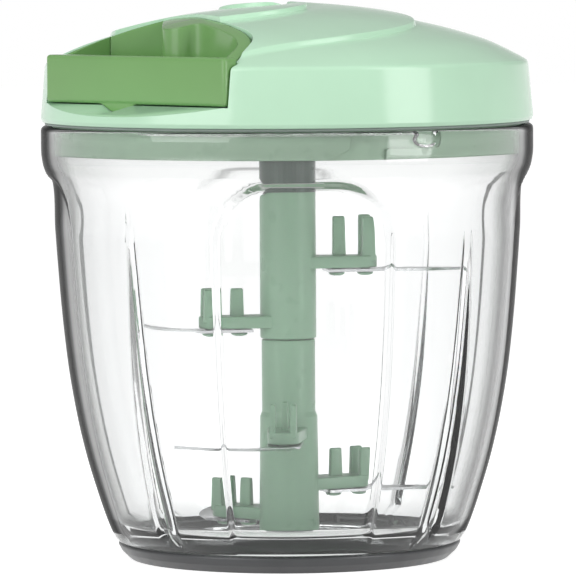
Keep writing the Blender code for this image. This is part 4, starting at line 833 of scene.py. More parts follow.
@dataclass
class Bowl:
    """The clear bowl: arched panels, pointed ribs, bayonet lugs and a boss for the centre pin."""

    finishes: Finishes
    rim_radius: float = 62.38 * MM
    rim_top: float = 110.0 * MM
    band_bottom: float = 100.0 * MM
    wall: float = 2.3 * MM
    rim_wall: float = 2.4 * MM
    rim_step: float = 102.9 * MM
    rim_edge: float = 0.5 * MM
    foot_gap: float = 4.7 * MM
    floor_top: float = 4.6 * MM
    floor_thickness: float = 2.4 * MM
    floor_edge: float = 34.0 * MM
    floor_shelf: float = 38.0 * MM
    pin_boss: float = 4.0 * MM
    pin_boss_depth: float = 1.5 * MM
    side_shares: tuple[Point, ...] = (
        (0.060, 0.716),
        (0.090, 0.737),
        (0.160, 0.776),
        (0.270, 0.828),
        (0.380, 0.867),
        (0.500, 0.898),
        (0.640, 0.922),
        (0.760, 0.937),
        (0.880, 0.951),
        (0.950, 0.966),
        (0.977, 0.979),
        (1.000, 0.992),
        (1.030, 1.000),
    )
    panel_angles: tuple[float, ...] = tuple(math.radians(-41.0 + 90.0 * i) for i in range(4))
    panel_half_angle: float = math.radians(21.4)
    panel_top: float = 97.0 * MM
    panel_bottom: float = 5.5 * MM
    panel_corner: float = 15.0 * MM
    panel_depth: float = 0.9 * MM
    panel_slope: float = 1.6 * MM
    panel_fade: float = 14.0 * MM
    panel_foot_rise: float = 4.0 * MM
    panel_scale_radius: float = 61.0 * MM
    rib_angles: tuple[float, ...] = tuple(math.radians(4.0 + 90.0 * i) for i in range(4))
    rib_top: float = 86.0 * MM
    rib_bottom: float = 9.0 * MM
    rib_foot: float = 2.0 * MM
    rib_fade_power: float = 0.7
    rib_half_width: float = 3.2 * MM
    flute_depth: float = 1.6 * MM
    rib_height: float = 1.9 * MM
    lug_angles: tuple[float, ...] = tuple(math.radians(-10.8 + 120.0 * i) for i in range(3))
    lug_half_width: float = 3.5 * MM
    lug_half_height: float = 1.6 * MM
    lug_height: float = 107.8 * MM
    lug_reach: float = 1.15 * MM
    lug_slope_share: float = 0.22
    coarse_step: float = math.radians(1.5)
    fine_step: float = math.radians(0.4)
    fine_at_rib: float = math.radians(3.6)
    fine_at_lug: float = math.radians(4.8)
    fine_at_panel: float = math.radians(1.8)
    row_step: float = 1.9 * MM
    arch_row_step: float = 0.9 * MM
    arch_margin: float = 2.0 * MM
    lug_row_step: float = 0.35 * MM
    lug_rows: int = 13
    band_rows: tuple[float, ...] = (107.5 * MM, 104.0 * MM)
    floor_shares: tuple[float, ...] = (0.15, 0.4, 0.7, 0.95)
    floor_fillet: Point = (1.2 * MM, 0.25 * MM)
    ledge_margin: float = 1.0 * MM
    rim_step_rise: float = 0.4 * MM
    foot_step: float = 1.0 * MM
    skin_reach: float = 0.1 * MM

    def outer_radius(self, height: float) -> float:
        """The plain outer radius at a height, before panels and ribs."""
        panelled = 1.0 - soft_step(height, self.panel_top - self.panel_fade, self.panel_top)
        return self.face_radius(height) + panelled * self.panel_foot(height) * self.panel_depth

    def face_radius(self, height: float) -> float:
        """The radius of the panels' faces, which carry the outline."""
        return read_curve(self.side_shares, height / self.band_bottom) * self.rim_radius

    def panel_foot(self, height: float) -> float:
        """How far the panels have risen out of the foot at a height."""
        return soft_step(height, self.panel_bottom, self.panel_bottom + self.panel_foot_rise)

    def angles(self) -> list[float]:
        """Angles of the wall's columns, closer together at panel edges, ribs and lugs.

        Returns:
            The angles, rising from 0.
        """
        busy = [(angle, self.fine_at_rib) for angle in self.rib_angles]
        busy += [(angle, self.fine_at_lug) for angle in self.lug_angles]
        for angle in self.panel_angles:
            for side in (-1.0, 1.0):
                busy.append((angle + side * self.panel_half_angle, self.fine_at_panel))
        found = []
        angle = 0.0
        while angle < TURN - self.fine_step / 2:
            found.append(angle)
            near = any(abs((angle - at + math.pi) % TURN - math.pi) < reach for at, reach in busy)
            angle += self.fine_step if near else self.coarse_step
        return found

    def heights(self) -> list[float]:
        """Heights of the wall's rows from the foot to the band, closer at the panels' arches.

        Returns:
            The heights, rising.
        """
        rows = []
        height = self.side_shares[0][0] * self.band_bottom
        while height < self.rim_step:
            rows.append(height)
            arch = self.panel_top - self.panel_corner - self.arch_margin < height
            height += self.arch_row_step if arch else self.row_step
        return rows

    def profile(self) -> list[Point]:
        """From the middle of the floor up the inside, over the rim and down the outside.

        Returns:
            The (radius, height) outline.
        """
        rows = self.heights()
        ledge = self.foot_gap + self.wall
        inner_rim = self.rim_radius - self.rim_wall
        half = self.rim_wall / 2
        out, up = self.floor_fillet
        points = [(0.0, self.floor_top)]
        points += [(self.floor_edge * share, self.floor_top) for share in self.floor_shares]
        points += [(self.floor_edge + out, self.floor_top + up), (self.floor_shelf, ledge)]
        for z in rows:
            if z > ledge + self.ledge_margin:
                points.append((min(self.face_radius(z) - self.wall, inner_rim), z))
        points.append((inner_rim, self.rim_step + self.rim_step_rise))
        low = self.lug_height - self.lug_half_height - self.rim_edge
        points += [(inner_rim, low + i * self.lug_row_step) for i in range(self.lug_rows)]
        points += arc((self.rim_radius - half, self.rim_top - half), half, math.pi, 0.0, 8)
        points += [(self.rim_radius, z) for z in self.band_rows]
        points += [(self.outer_radius(z), z) for z in reversed(rows)]
        foot = self.floor_edge + self.wall
        under = self.floor_top - self.floor_thickness
        points += [(self.outer_radius(rows[0]) - self.foot_step, self.foot_gap), (foot, self.foot_gap)]
        points += [(foot, under), (self.pin_boss, under), (self.pin_boss, under - self.pin_boss_depth)]
        points.append((0.0, under - self.pin_boss_depth))
        return points

    def panel_share(self, angle: float, height: float) -> float:
        """How far inside an arched panel a point of the wall lies, from 0 outside to 1 on its face.

        Args:
            angle: The point's angle in plan.
            height: Its height above the ground.

        Returns:
            The share.
        """
        share = 0.0
        half = self.panel_half_angle * self.panel_scale_radius
        for centre in self.panel_angles:
            across = abs((angle - centre + math.pi) % TURN - math.pi) * self.panel_scale_radius
            corner_x = across - (half - self.panel_corner)
            corner_z = height - (self.panel_top - self.panel_corner)
            if corner_x > 0.0 and corner_z > 0.0:
                inside = self.panel_corner - math.hypot(corner_x, corner_z)
            else:
                inside = min(half - across, self.panel_top - height)
            edge = soft_step(inside, -self.panel_slope / 2, self.panel_slope / 2)
            share = max(share, edge * self.panel_foot(height))
        return share

    def rib_share(self, angle: float, height: float) -> float:
        """How deep a point lies in a pointed rib, from 0 beside it to 1 on its ridge at its foot.

        Args:
            angle: The point's angle in plan.
            height: Its height above the ground.

        Returns:
            The share.
        """
        if height > self.rib_top:
            return 0.0
        share = max((height - self.rib_bottom) / (self.rib_top - self.rib_bottom), 0.0)
        foot = soft_step(height, self.rib_bottom - self.rib_foot, self.rib_bottom + self.rib_foot)
        fade = (1.0 - share) ** self.rib_fade_power * foot
        radius = self.outer_radius(height)
        best = 0.0
        for centre in self.rib_angles:
            across = abs((angle - centre + math.pi) % TURN - math.pi) * radius
            width = self.rib_half_width * fade
            if width > 0.0 and across < width:
                best = max(best, fade * (1.0 - across / width))
        return best

    def lug_share(self, angle: float, height: float) -> float:
        """How far inside a lug's oval a point of the rim lies, from 0 outside to 1 on its face.

        Args:
            angle: The point's angle in plan.
            height: Its height above the ground.

        Returns:
            The share.
        """
        share = 0.0
        for centre in self.lug_angles:
            across = ((angle - centre + math.pi) % TURN - math.pi) * self.rim_radius
            up = height - self.lug_height
            place = math.hypot(across / self.lug_half_width, up / self.lug_half_height)
            slope = soft_step(place, 1.0 - self.lug_slope_share, 1.0 + self.lug_slope_share)
            share = max(share, 1.0 - slope)
        return share

    def side_of(self, radius: float, height: float) -> Side | None:
        """Which skin a point lies on, or None where the wall stays plain.

        Args:
            radius: The point's distance from the axis.
            height: Its height above the ground.

        Returns:
            The skin, or None.
        """
        inner_rim = self.rim_radius - self.rim_wall
        if height > self.rim_step and abs(radius - inner_rim) < self.skin_reach:
            return Side.RIM_INSIDE
        if not self.side_shares[0][0] * self.band_bottom - MERGE < height < self.band_bottom - MERGE:
            return None
        if abs(radius - self.outer_radius(height)) < self.skin_reach:
            return Side.OUTSIDE
        if abs(radius - self.face_radius(height) + self.wall) < self.skin_reach:
            return Side.INSIDE
        return None

    def shaped(self, bm: BMesh, count: int) -> None:
        """Moves a plain spun bowl's columns to their angles and presses in its features.

        Args:
            bm: The spun bowl.
            count: How many columns it has.
        """
        angles = self.angles()
        for vert in bm.verts:
            radius = math.hypot(vert.co.x, vert.co.y)
            if radius < MERGE:
                continue
            column = round(math.atan2(vert.co.y, vert.co.x) % TURN / TURN * count) % count
            angle = angles[column]
            height = vert.co.z
            side = self.side_of(radius, height)
            if side is Side.OUTSIDE:
                radius -= self.panel_share(angle, height) * self.panel_depth
                radius -= self.rib_share(angle, height) * self.flute_depth
            elif side is Side.INSIDE:
                radius -= self.rib_share(angle, height) * self.rib_height
            elif side is Side.RIM_INSIDE:
                radius -= self.lug_share(angle, height) * self.lug_reach
            vert.co.x, vert.co.y = polar(radius, angle)

    def build(self) -> Object:
        """Makes the bowl and seats it.

        Returns:
            The seated bowl.
        """
        count = len(self.angles())
        bm = spun(self.profile(), count)
        self.shaped(bm, count)
        bowl = make_object(bm, "clear_bowl", self.finishes.clear, sharp=0.9)
        return seat(bowl, "bowl_body", "clear_plastic", "bowl")


@dataclass
class Foot:
    """The soft ring under the bowl, and the pin in the middle of its floor."""

    finishes: Finishes
    top: float = 4.4 * MM
    top_radius: float = 43.6 * MM
    belly_radius: float = 42.6 * MM
    belly_height: float = 2.0 * MM
    foot_radius: float = 40.4 * MM
    inner_radius: float = 36.6 * MM
    edge: float = 0.6 * MM
    groove: float = 0.35 * MM
    pin_radius: float = 2.0 * MM
    pin_top: float = 15.6 * MM
    pin_bottom: float = 2.5 * MM
    pin_crown_share: float = 0.65

    def ring(self) -> Object:
        """Makes the non-slip ring with rounded edges and two grip grooves underneath.

        Returns:
            The seated ring.
        """
        flat = self.foot_radius - self.inner_radius
        corners = [
            (self.inner_radius, 0.0, self.edge),
            (self.inner_radius + flat * 0.3, 0.0, 0.0),
            (self.inner_radius + flat * 0.38, self.groove, 0.0),
            (self.inner_radius + flat * 0.46, 0.0, 0.0),
            (self.inner_radius + flat * 0.62, 0.0, 0.0),
            (self.inner_radius + flat * 0.7, self.groove, 0.0),
            (self.inner_radius + flat * 0.78, 0.0, 0.0),
            (self.foot_radius, 0.0, self.edge),
            (self.belly_radius, self.belly_height, self.edge * 2),
            (self.top_radius, self.top - self.edge, self.edge),
            (self.top_radius - self.edge, self.top, self.edge / 2),
            (self.inner_radius, self.top, self.edge / 2),
        ]
        ring = make_object(spun(rounded(corners), 160), "non_slip_ring", self.finishes.rubber)
        return seat(ring, "bowl_body", "grey_rubber", "base_ring")

    def pin(self) -> Object:
        """Makes the steel pin with its rounded crown.

        Returns:
            The seated pin.
        """
        round_off = self.pin_radius * self.pin_crown_share
        crown = arc((self.pin_radius - round_off, self.pin_top - round_off), round_off, math.pi / 2, 0.0, 6)
        profile = [(0.0, self.pin_top), *crown, (self.pin_radius, self.pin_bottom), (0.0, self.pin_bottom)]
        pin = make_object(spun(profile, 40), "turning_pin", self.finishes.steel)
        return seat(pin, "bowl_body", "steel", "centre_pin")

    def build(self) -> None:
        """Makes both pieces."""
        self.ring()
        self.pin()


@dataclass
class BladeColumn:
    """The two halves of the blade column, with their arms, fins, stakes, blades and foot bush."""

    finishes: Finishes
    foot_radius: float = 7.65 * MM
    waist_radius: float = 7.3 * MM
    waist_height: float = 36.0 * MM
    waist_rise: float = 1.2 * MM
    waist_fillet: float = 0.9 * MM
    waist_edge: float = 0.6 * MM
    neck_radius: float = 6.8 * MM
    joint_height: float = 55.8 * MM
    upper_radius: float = 7.15 * MM
    top: float = 92.5 * MM
    foot: float = 6.7 * MM
    edge: float = 0.45 * MM
    key_radius: float = 4.6 * MM
    key_length: float = 7.0 * MM
    drive_length: float = 9.0 * MM
    bush_radius: float = 4.4 * MM
    bush_flange: float = 6.1 * MM
    bush_top: float = 17.5 * MM
    bush_bottom: float = 5.1 * MM
    bush_bore: float = 2.3 * MM
    bush_ceiling: float = 15.9 * MM
    bush_edges: Corner = (0.4 * MM, 0.25 * MM, 0.2 * MM)
    arm_heights: tuple[float, ...] = (73.5 * MM, 58.6 * MM, 30.6 * MM, 17.2 * MM, 9.6 * MM)
    arm_angles: tuple[float, ...] = tuple(math.radians(a) for a in (55.0, -125.0, -49.0, 71.0, -169.0))
    arm_edge: float = 0.35 * MM
    blade_tips: tuple[float, ...] = (47.0 * MM, 46.0 * MM, 45.0 * MM, 42.0 * MM, 39.5 * MM)
    upper_arms: int = 2
    arm_reach: float = 23.0 * MM
    arm_root_width: float = 11.0 * MM
    arm_tip_width: float = 8.0 * MM
    arm_thickness: float = 3.0 * MM
    fin_height: float = 7.0 * MM
    fin_length: float = 3.6 * MM
    fin_width: float = 1.7 * MM
    fin_top_shares: Point = (0.86, 0.82)
    fin_edge: float = 0.4 * MM
    fin_places: tuple[Point, ...] = ((20.4 * MM, 2.6 * MM), (20.4 * MM, -2.6 * MM), (13.2 * MM, 0.0))
    stake_places: tuple[float, ...] = (12.6 * MM, 20.0 * MM)
    stake_radius: float = 1.2 * MM
    stake_head: float = 2.1 * MM
    stake_head_height: float = 0.8 * MM
    blade_thickness: float = 0.7 * MM
    blade_root: float = 9.6 * MM
    blade_width: float = 8.6 * MM
    blade_sweep: float = math.radians(34.0)
    blade_tip_rise: float = 1.6 * MM
    blade_edge: float = 0.12 * MM
    blade_bevel_share: float = 0.45
    blade_tip_share: float = 0.012
    blade_taper_power: float = 0.75
    blade_sweep_power: float = 1.4

    def blade_half(self, swept: float) -> float:
        """Half the blade's width at a share of its free length."""
        return self.blade_width / 2 * max(1.0 - swept, self.blade_tip_share) ** self.blade_taper_power

    def blade_turn(self, swept: float) -> float:
        """How far the blade has swept back at a share of its free length."""
        return self.blade_sweep * swept ** self.blade_sweep_power

    def arm_place(self, number: int) -> Matrix:
        """Where an arm's own origin goes: on the axis, at its underside, turned to its angle."""
        lift = Matrix.Translation((0.0, 0.0, self.arm_heights[number]))
        return lift @ Matrix.Rotation(self.arm_angles[number], 4, "Z")

    def arm(self, number: int) -> Object:
        """An arm with a rounded end and softened edges.

        Args:
            number: Which arm, from 0 at the top.

        Returns:
            The arm as a tool.
        """
        half = self.arm_tip_width / 2
        end = self.arm_reach - half
        outline = [(0.0, -self.arm_root_width / 2)]
        outline += arc((end, 0.0), half, -math.pi / 2, math.pi / 2, 14)
        outline.append((0.0, self.arm_root_width / 2))
        bm = extruded(outline, 0.0, self.arm_thickness)
        soften(bm, self.arm_edge, 3)
        return make_object(move(bm, self.arm_place(number)), "arm_tool")

    def fin(self, number: int, place: Point) -> Object:
        """One of an arm's upright fins, drawn in towards its top.

        Args:
            number: Which arm carries it.
            place: Its middle on the arm.

        Returns:
            The fin as a tool.
        """
        bm = bmesh.new()
        bmesh.ops.create_cube(bm, size=1.0)
        height = self.fin_height + self.arm_thickness / 2
        bmesh.ops.scale(bm, vec=(self.fin_length, self.fin_width, height), verts=bm.verts)
        upper = [vert for vert in bm.verts if vert.co.z > 0.0]
        bmesh.ops.scale(bm, vec=(*self.fin_top_shares, 1.0), verts=upper)
        soften(bm, self.fin_edge, 4)
        middle = self.arm_thickness / 2 + height / 2
        where = self.arm_place(number) @ Matrix.Translation((*place, middle))
        return make_object(move(bm, where), "fin_tool")

    def stake(self, number: int, place: float) -> Object:
        """A stake through the blade, its end flattened to a domed head.

        Args:
            number: Which arm carries it.
            place: How far out it stands.

        Returns:
            The stake as a tool.
        """
        below = self.blade_thickness + GAP * 2
        profile = [
            (0.0, self.arm_thickness / 2),
            (self.stake_radius, self.arm_thickness / 2),
            (self.stake_radius, -below),
            (self.stake_head * 0.97, -below),
            (self.stake_head, -below - self.stake_head_height * 0.3),
            (self.stake_head * 0.82, -below - self.stake_head_height * 0.75),
            (self.stake_head * 0.45, -below - self.stake_head_height),
            (0.0, -below - self.stake_head_height),
        ]
        bm = spun(profile, 20)
        where = self.arm_place(number) @ Matrix.Translation((place, 0.0, 0.0))
        return make_object(move(bm, where), "stake_tool")

    def arm_steps(self, numbers: Sequence[int]) -> list[Step]:
        """The joins that add arms, fins and stakes to a column.

        Args:
            numbers: The arms to add.

        Returns:
            The steps in order.
        """
        steps = []
        for number in numbers:
            steps.append((Operation.JOIN, self.arm(number)))
            steps += [(Operation.JOIN, self.fin(number, place)) for place in self.fin_places]
            steps += [(Operation.JOIN, self.stake(number, place)) for place in self.stake_places]
        return steps

    def key(self, radius: float, bottom: float, top: float) -> Object:
        """A six-sided key or socket tool."""
        return block(disc_outline((0.0, 0.0), radius, 6), bottom, top)

    def lower(self) -> Object:
        """Makes the lower half, with its tapering foot and three arms.

        Returns:
            The seated half.
        """
        joint = self.joint_height - GAP
        corners = [
            (self.neck_radius, joint, self.edge),
            (self.neck_radius, self.waist_height + self.waist_rise, self.waist_fillet),
            (self.waist_radius, self.waist_height, self.waist_edge),
            (self.foot_radius, self.foot, self.edge),
        ]
        profile = [(0.0, joint), *rounded([(0.0, joint, 0.0), *corners, (0.0, self.foot, 0.0)])[1:]]
        column = make_object(spun(profile, 72), "lower_blade_column", self.finishes.column)
        bush = rod(self.bush_radius + GAP, self.foot - OVERRUN, self.bush_top + GAP, 48)
        steps = [(Operation.JOIN, self.key(self.key_radius, joint - OVERRUN, joint + self.key_length))]
        steps += self.arm_steps(range(self.upper_arms, len(self.arm_heights)))
        steps.append((Operation.CUT, make_object(bush, "bush_tool")))
        return seat(carve(column, steps), "column", "sage_plastic", "lower_column")

    def upper(self) -> Object:
        """Makes the upper half, with its drive key and two arms.

        Returns:
            The seated half.
        """
        corners = [
            (0.0, self.top, 0.0),
            (self.upper_radius, self.top, self.edge),
            (self.upper_radius, self.joint_height, self.edge),
            (0.0, self.joint_height, 0.0),
        ]
        column = make_object(spun(rounded(corners), 72), "upper_blade_column", self.finishes.column)
        drive = self.key(self.key_radius, self.top - OVERRUN, self.top + self.drive_length)
        steps = [(Operation.JOIN, drive), *self.arm_steps(range(self.upper_arms))]
        ceiling = self.joint_height + self.key_length
        steps.append((Operation.CUT, self.key(self.key_radius + GAP, self.joint_height - OVERRUN, ceiling)))
        return seat(carve(column, steps), "column", "sage_plastic", "upper_column")

    def bush(self) -> Object:
        """Makes the flanged bush that turns on the centre pin.

        Returns:
            The seated bush.
        """
        shelf = self.foot - GAP
        crown, rim, mouth = self.bush_edges
        corners = [
            (0.0, self.bush_top, 0.0),
            (self.bush_radius, self.bush_top, crown),
            (self.bush_radius, shelf, 0.0),
            (self.bush_flange, shelf, rim),
            (self.bush_flange, self.bush_bottom, rim),
            (self.bush_bore, self.bush_bottom, mouth),
            (self.bush_bore, self.bush_ceiling, 0.0),
            (0.0, self.bush_ceiling, 0.0),
        ]
        bush = make_object(spun(rounded(corners), 56), "column_foot_bush", self.finishes.dark)
        return seat(bush, "column", "dark_plastic", "foot_bush")

    def blade(self, number: int) -> Object:
        """Makes a sickle blade: a grid bent to its sweep, given its thickness and ground edge.

        Args:
            number: Which arm carries it, from 0 at the top.

        Returns:
            The seated blade.
        """
        tip = self.blade_tips[number]
        bm = bmesh.new()
        bmesh.ops.create_grid(bm, x_segments=64, y_segments=12, size=1.0)
        for vert in bm.verts:
            along = (vert.co.x + 1.0) / 2.0
            across = vert.co.y
            reach = self.blade_root + (tip - self.blade_root) * along
            swept = max((reach - self.arm_reach) / (tip - self.arm_reach), 0.0)
            width = self.blade_half(swept)
            turn = -self.blade_turn(swept)
            x, y = polar(reach, turn)
            vert.co = (
                x - math.sin(turn) * width * across,
                y + math.cos(turn) * width * across,
                self.blade_tip_rise * swept ** 2,
            )
        lower = points_of(bmesh.ops.extrude_face_region(bm, geom=bm.faces[:]))
        bmesh.ops.translate(bm, verts=lower, vec=(0.0, 0.0, -self.blade_thickness))
        self.grind(lower, tip)
        where = self.arm_place(number) @ Matrix.Translation((0.0, 0.0, -GAP))
        blade = make_object(move(bm, where), f"sickle_blade_{number + 1}", self.finishes.blade, sharp=0.35)
        holes = []
        for place in self.stake_places:
            bore = rod(self.stake_radius + GAP / 2, -OVERRUN, OVERRUN, 20)
            where = self.arm_place(number) @ Matrix.Translation((place, 0.0, 0.0))
            holes.append((Operation.CUT, make_object(move(bore, where), "hole_tool")))
        return seat(carve(blade, holes, sharp=0.35), "column", "steel", f"blade_{number + 1}")

    def grind(self, lower: Sequence[BMVert], tip: float) -> None:
        """Thins the leading edge from below: the nearer a point lies to it, the more it rises.

        Args:
            lower: Points of the blade's lower face.
            tip: Its tip's radius.
        """
        for vert in lower:
            radius = math.hypot(vert.co.x, vert.co.y)
            swept = (radius - self.arm_reach) / (tip - self.arm_reach)
            if swept <= 0.0:
                continue
            ahead = (math.atan2(vert.co.y, vert.co.x) + self.blade_turn(swept)) * radius
            near = soft_step(ahead / self.blade_half(swept), 1.0 - 2.0 * self.blade_bevel_share, 1.0)
            start = soft_step(swept, 0.02, 0.16)
            vert.co.z += (self.blade_thickness - self.blade_edge) * near * start

    def build(self) -> None:
        """Makes the column's pieces."""
        self.lower()
        self.upper()
        self.bush()
        for number in range(len(self.arm_heights)):
            self.blade(number)


@dataclass
class Lid:
    """The mint cover, the sage base under it, the gasket and the screws that hold them."""

    finishes: Finishes
    radius: float = 62.4 * MM
    bottom: float = 111.0 * MM
    shoulder_radius: float = 61.0 * MM
    shoulder_height: float = 125.9 * MM
    shoulder_swell: float = 0.12 * MM
    shoulder_drop: float = 0.1 * MM
    shoulder_edge: float = 1.5 * MM
    dome_margin: float = 1.6 * MM
    dome_rows: int = 44
    dome_row_power: float = 0.9
    skirt_lip: float = 1.0 * MM
    skirt_lip_edge: float = 0.8 * MM
    skirt_inset: float = 0.4 * MM
    skirt_inset_edge: float = 0.2 * MM
    dome_top: float = 139.9 * MM
    wall: float = 2.0 * MM
    mouth_radius: float = 60.5 * MM
    mouth_depth: float = 2.6 * MM
    mouth_inset: float = 0.3 * MM
    mouth_rise: float = 3.0 * MM
    petals: int = 3
    petal_columns: int = 52
    step_columns: int = 10
    step_span: float = 2.2
    petal_rise: float = 1.15 * MM
    petal_fade: float = 12.0 * MM
    petal_hub: float = 5.0 * MM
    petal_drop_share: float = 0.022
    petal_shares: tuple[Point, ...] = (
        (0.050, 180.0),
        (0.130, 160.0),
        (0.250, 135.0),
        (0.380, 110.0),
        (0.500, 86.0),
        (0.600, 62.0),
        (0.680, 40.0),
        (0.750, 20.0),
        (0.810, 5.0),
        (0.870, -6.0),
        (0.934, -13.0),
        (1.000, -18.0),
    )
    petal_turn: float = math.radians(-45.0)
    plate_bottom: float = 111.3 * MM
    plate_top: float = 113.3 * MM
    plate_radius: float = 60.2 * MM
    skirt_radius: float = 59.58 * MM
    skirt_wall: float = 2.2 * MM
    skirt_bottom: float = 103.2 * MM
    groove_depth: float = 1.15 * MM
    groove_clearance: float = 0.4 * MM
    groove_play: float = math.radians(1.0)
    groove_columns: int = 28
    groove_mouth_edge: float = 1.0 * MM
    groove_end_edge: float = 1.6 * MM
    groove_top_edge: float = 1.2 * MM
    groove_ramp_edge: float = 1.4 * MM
    lid_twist: float = math.radians(15.0)
    lead_in: float = math.radians(5.5)
    plate_edge: float = 0.4 * MM
    skirt_edge: float = 0.6 * MM
    plate_fillet: float = 1.0 * MM
    tube_edge: float = 0.5 * MM
    hub_bore: float = 7.45 * MM
    hub_tube_wall: float = 2.1 * MM
    hub_tube_bottom: float = 104.0 * MM
    gasket_inner: float = 60.3 * MM
    gasket_outer: float = 61.4 * MM
    gasket_bottom: float = 110.3 * MM
    gasket_top: float = 111.0 * MM
    gasket_edge: float = 0.25 * MM
    screw_circle: float = 46.0 * MM
    screw_angles: tuple[float, ...] = tuple(math.radians(a) for a in (15.0, 90.0, 165.0))
    screw_radius: float = 1.25 * MM
    screw_head: float = 2.9 * MM
    screw_head_height: float = 1.7 * MM
    screw_grip: float = 11.0 * MM
    screw_threads: int = 9
    screw_core_share: float = 0.82
    slot_width: float = 0.8 * MM
    slot_depth: float = 1.6 * MM
    boss_radius: float = 3.6 * MM
    boss_bottom: float = 113.6 * MM
    post_radius: float = 6.2 * MM
    spool_top: float = 132.0 * MM

    def dome_height(self, radius: float) -> float:
        """The low side of the cover's dome."""
        share = radius / self.shoulder_radius
        return self.dome_top - (self.dome_top - self.shoulder_height) * share ** 2

    def petal_lift(self, share: float, radius: float) -> float:
        """How far a point of a petal stands above the low dome.

        Args:
            share: The point's place round its petal, from 0 behind the edge to 1 on the next.
            radius: Its distance from the axis.

        Returns:
            The lift in metres.
        """
        high = 1.0 - self.petal_drop_share
        rise = share / high if share < high else 1.0 - soft_step(share, high, 1.0)
        fade = min((self.shoulder_radius - radius) / self.petal_fade, radius / self.petal_hub, 1.0)
        return self.petal_rise * rise * soft_step(fade, -0.25, 1.0) if fade > 0.0 else 0.0

    def cover_profile(self) -> list[Point]:
        """The filled cover's outside from the top pole to the middle of its mouth.

        Returns:
            The (radius, height) outline.
        """
        points = [(0.0, self.dome_top)]
        edge = self.shoulder_radius - self.dome_margin
        for i in range(1, self.dome_rows + 1):
            radius = edge * (i / self.dome_rows) ** self.dome_row_power
            points.append((radius, self.dome_height(radius)))
        swell = self.shoulder_radius + self.shoulder_swell
        corner = [
            (edge, self.dome_height(edge), 0.0),
            (swell, self.shoulder_height - self.shoulder_drop, self.shoulder_edge),
            (self.radius, self.bottom + self.skirt_lip, self.skirt_lip_edge),
            (self.radius - self.skirt_inset, self.bottom, self.skirt_inset_edge),
            (0.0, self.bottom, 0.0),
        ]
        points += rounded(corner, 7)[1:]
        return points

    def swirled(self) -> BMesh:
        """The filled cover, its dome turned and lifted into overlapping petals.

        Returns:
            The cover as a bmesh.
        """
        columns = self.petals * self.petal_columns
        bm = spun(self.cover_profile(), columns)
        table = [(share * self.shoulder_radius, math.radians(turn)) for share, turn in self.petal_shares]
        fine = self.step_columns
        plain = self.petal_columns - fine
        high = 1.0 - self.petal_drop_share * self.step_span
        for vert in bm.verts:
            radius = math.hypot(vert.co.x, vert.co.y)
            if radius < MERGE:
                continue
            column = round(math.atan2(vert.co.y, vert.co.x) % TURN / TURN * columns) % columns
            petal, k = divmod(column, self.petal_columns)
            share = k / plain * high if k < plain else high + (k - plain) / fine * (1.0 - high)
            turn = read_curve(table, min(radius, self.shoulder_radius)) + self.petal_turn
            on_dome = vert.co.z > self.shoulder_height - self.shoulder_drop
            lift = self.petal_lift(share, radius) if on_dome else 0.0
            angle = (petal + share) * TURN / self.petals + turn
            vert.co = Vector((*polar(radius, angle), vert.co.z + lift))
        return bm

    def cavity(self) -> Object:
        """The hollow under the cover.

        Returns:
            The cutting tool.
        """
        inner = self.shoulder_radius - self.wall
        points = [(0.0, self.dome_top - self.wall)]
        points += [(inner * i / 12, self.dome_height(inner * i / 12) - self.wall) for i in range(1, 13)]
        points += [
            (self.mouth_radius - self.mouth_inset, self.bottom + self.mouth_depth + self.mouth_rise),
            (self.mouth_radius, self.bottom + self.mouth_depth),
            (self.mouth_radius, self.bottom - OVERRUN),
            (0.0, self.bottom - OVERRUN),
        ]
        return make_object(spun(points, 96), "cavity_tool")

    def cover(self, handle: "PullHandle") -> Object:
        """Makes the cover: the swirled dome, hollowed round the handle's tub and opened for it.

        Args:
            handle: The handle, whose outlines shape the recess.

        Returns:
            The seated cover.
        """
        solid = [(Operation.CUT, handle.ground(self)), (Operation.CUT, handle.tub_tool())]
        cavity = carve(self.cavity(), [*solid, *self.boss_steps()])
        cover = make_object(self.swirled(), "mint_cover", self.finishes.mint, sharp=0.7)
        steps = [(Operation.CUT, cavity)]
        steps += [(Operation.CUT, tool) for tool in handle.recess_tools(self)]
        return seat(carve(cover, steps, sharp=0.7), "lid", "mint_plastic", "top_cover")

    def boss_steps(self) -> list[Step]:
        """The posts left standing in the hollow for the screws and the arbor.

        Returns:
            The steps in order.
        """
        steps = []
        for angle in self.screw_angles:
            outline = disc_outline(polar(self.screw_circle, angle), self.boss_radius, 32)
            steps.append((Operation.CUT, block(outline, self.boss_bottom, self.dome_top)))
        outline = disc_outline((0.0, 0.0), self.post_radius, 48)
        return [*steps, (Operation.CUT, block(outline, self.spool_top + GAP, self.dome_top + OVERRUN))]

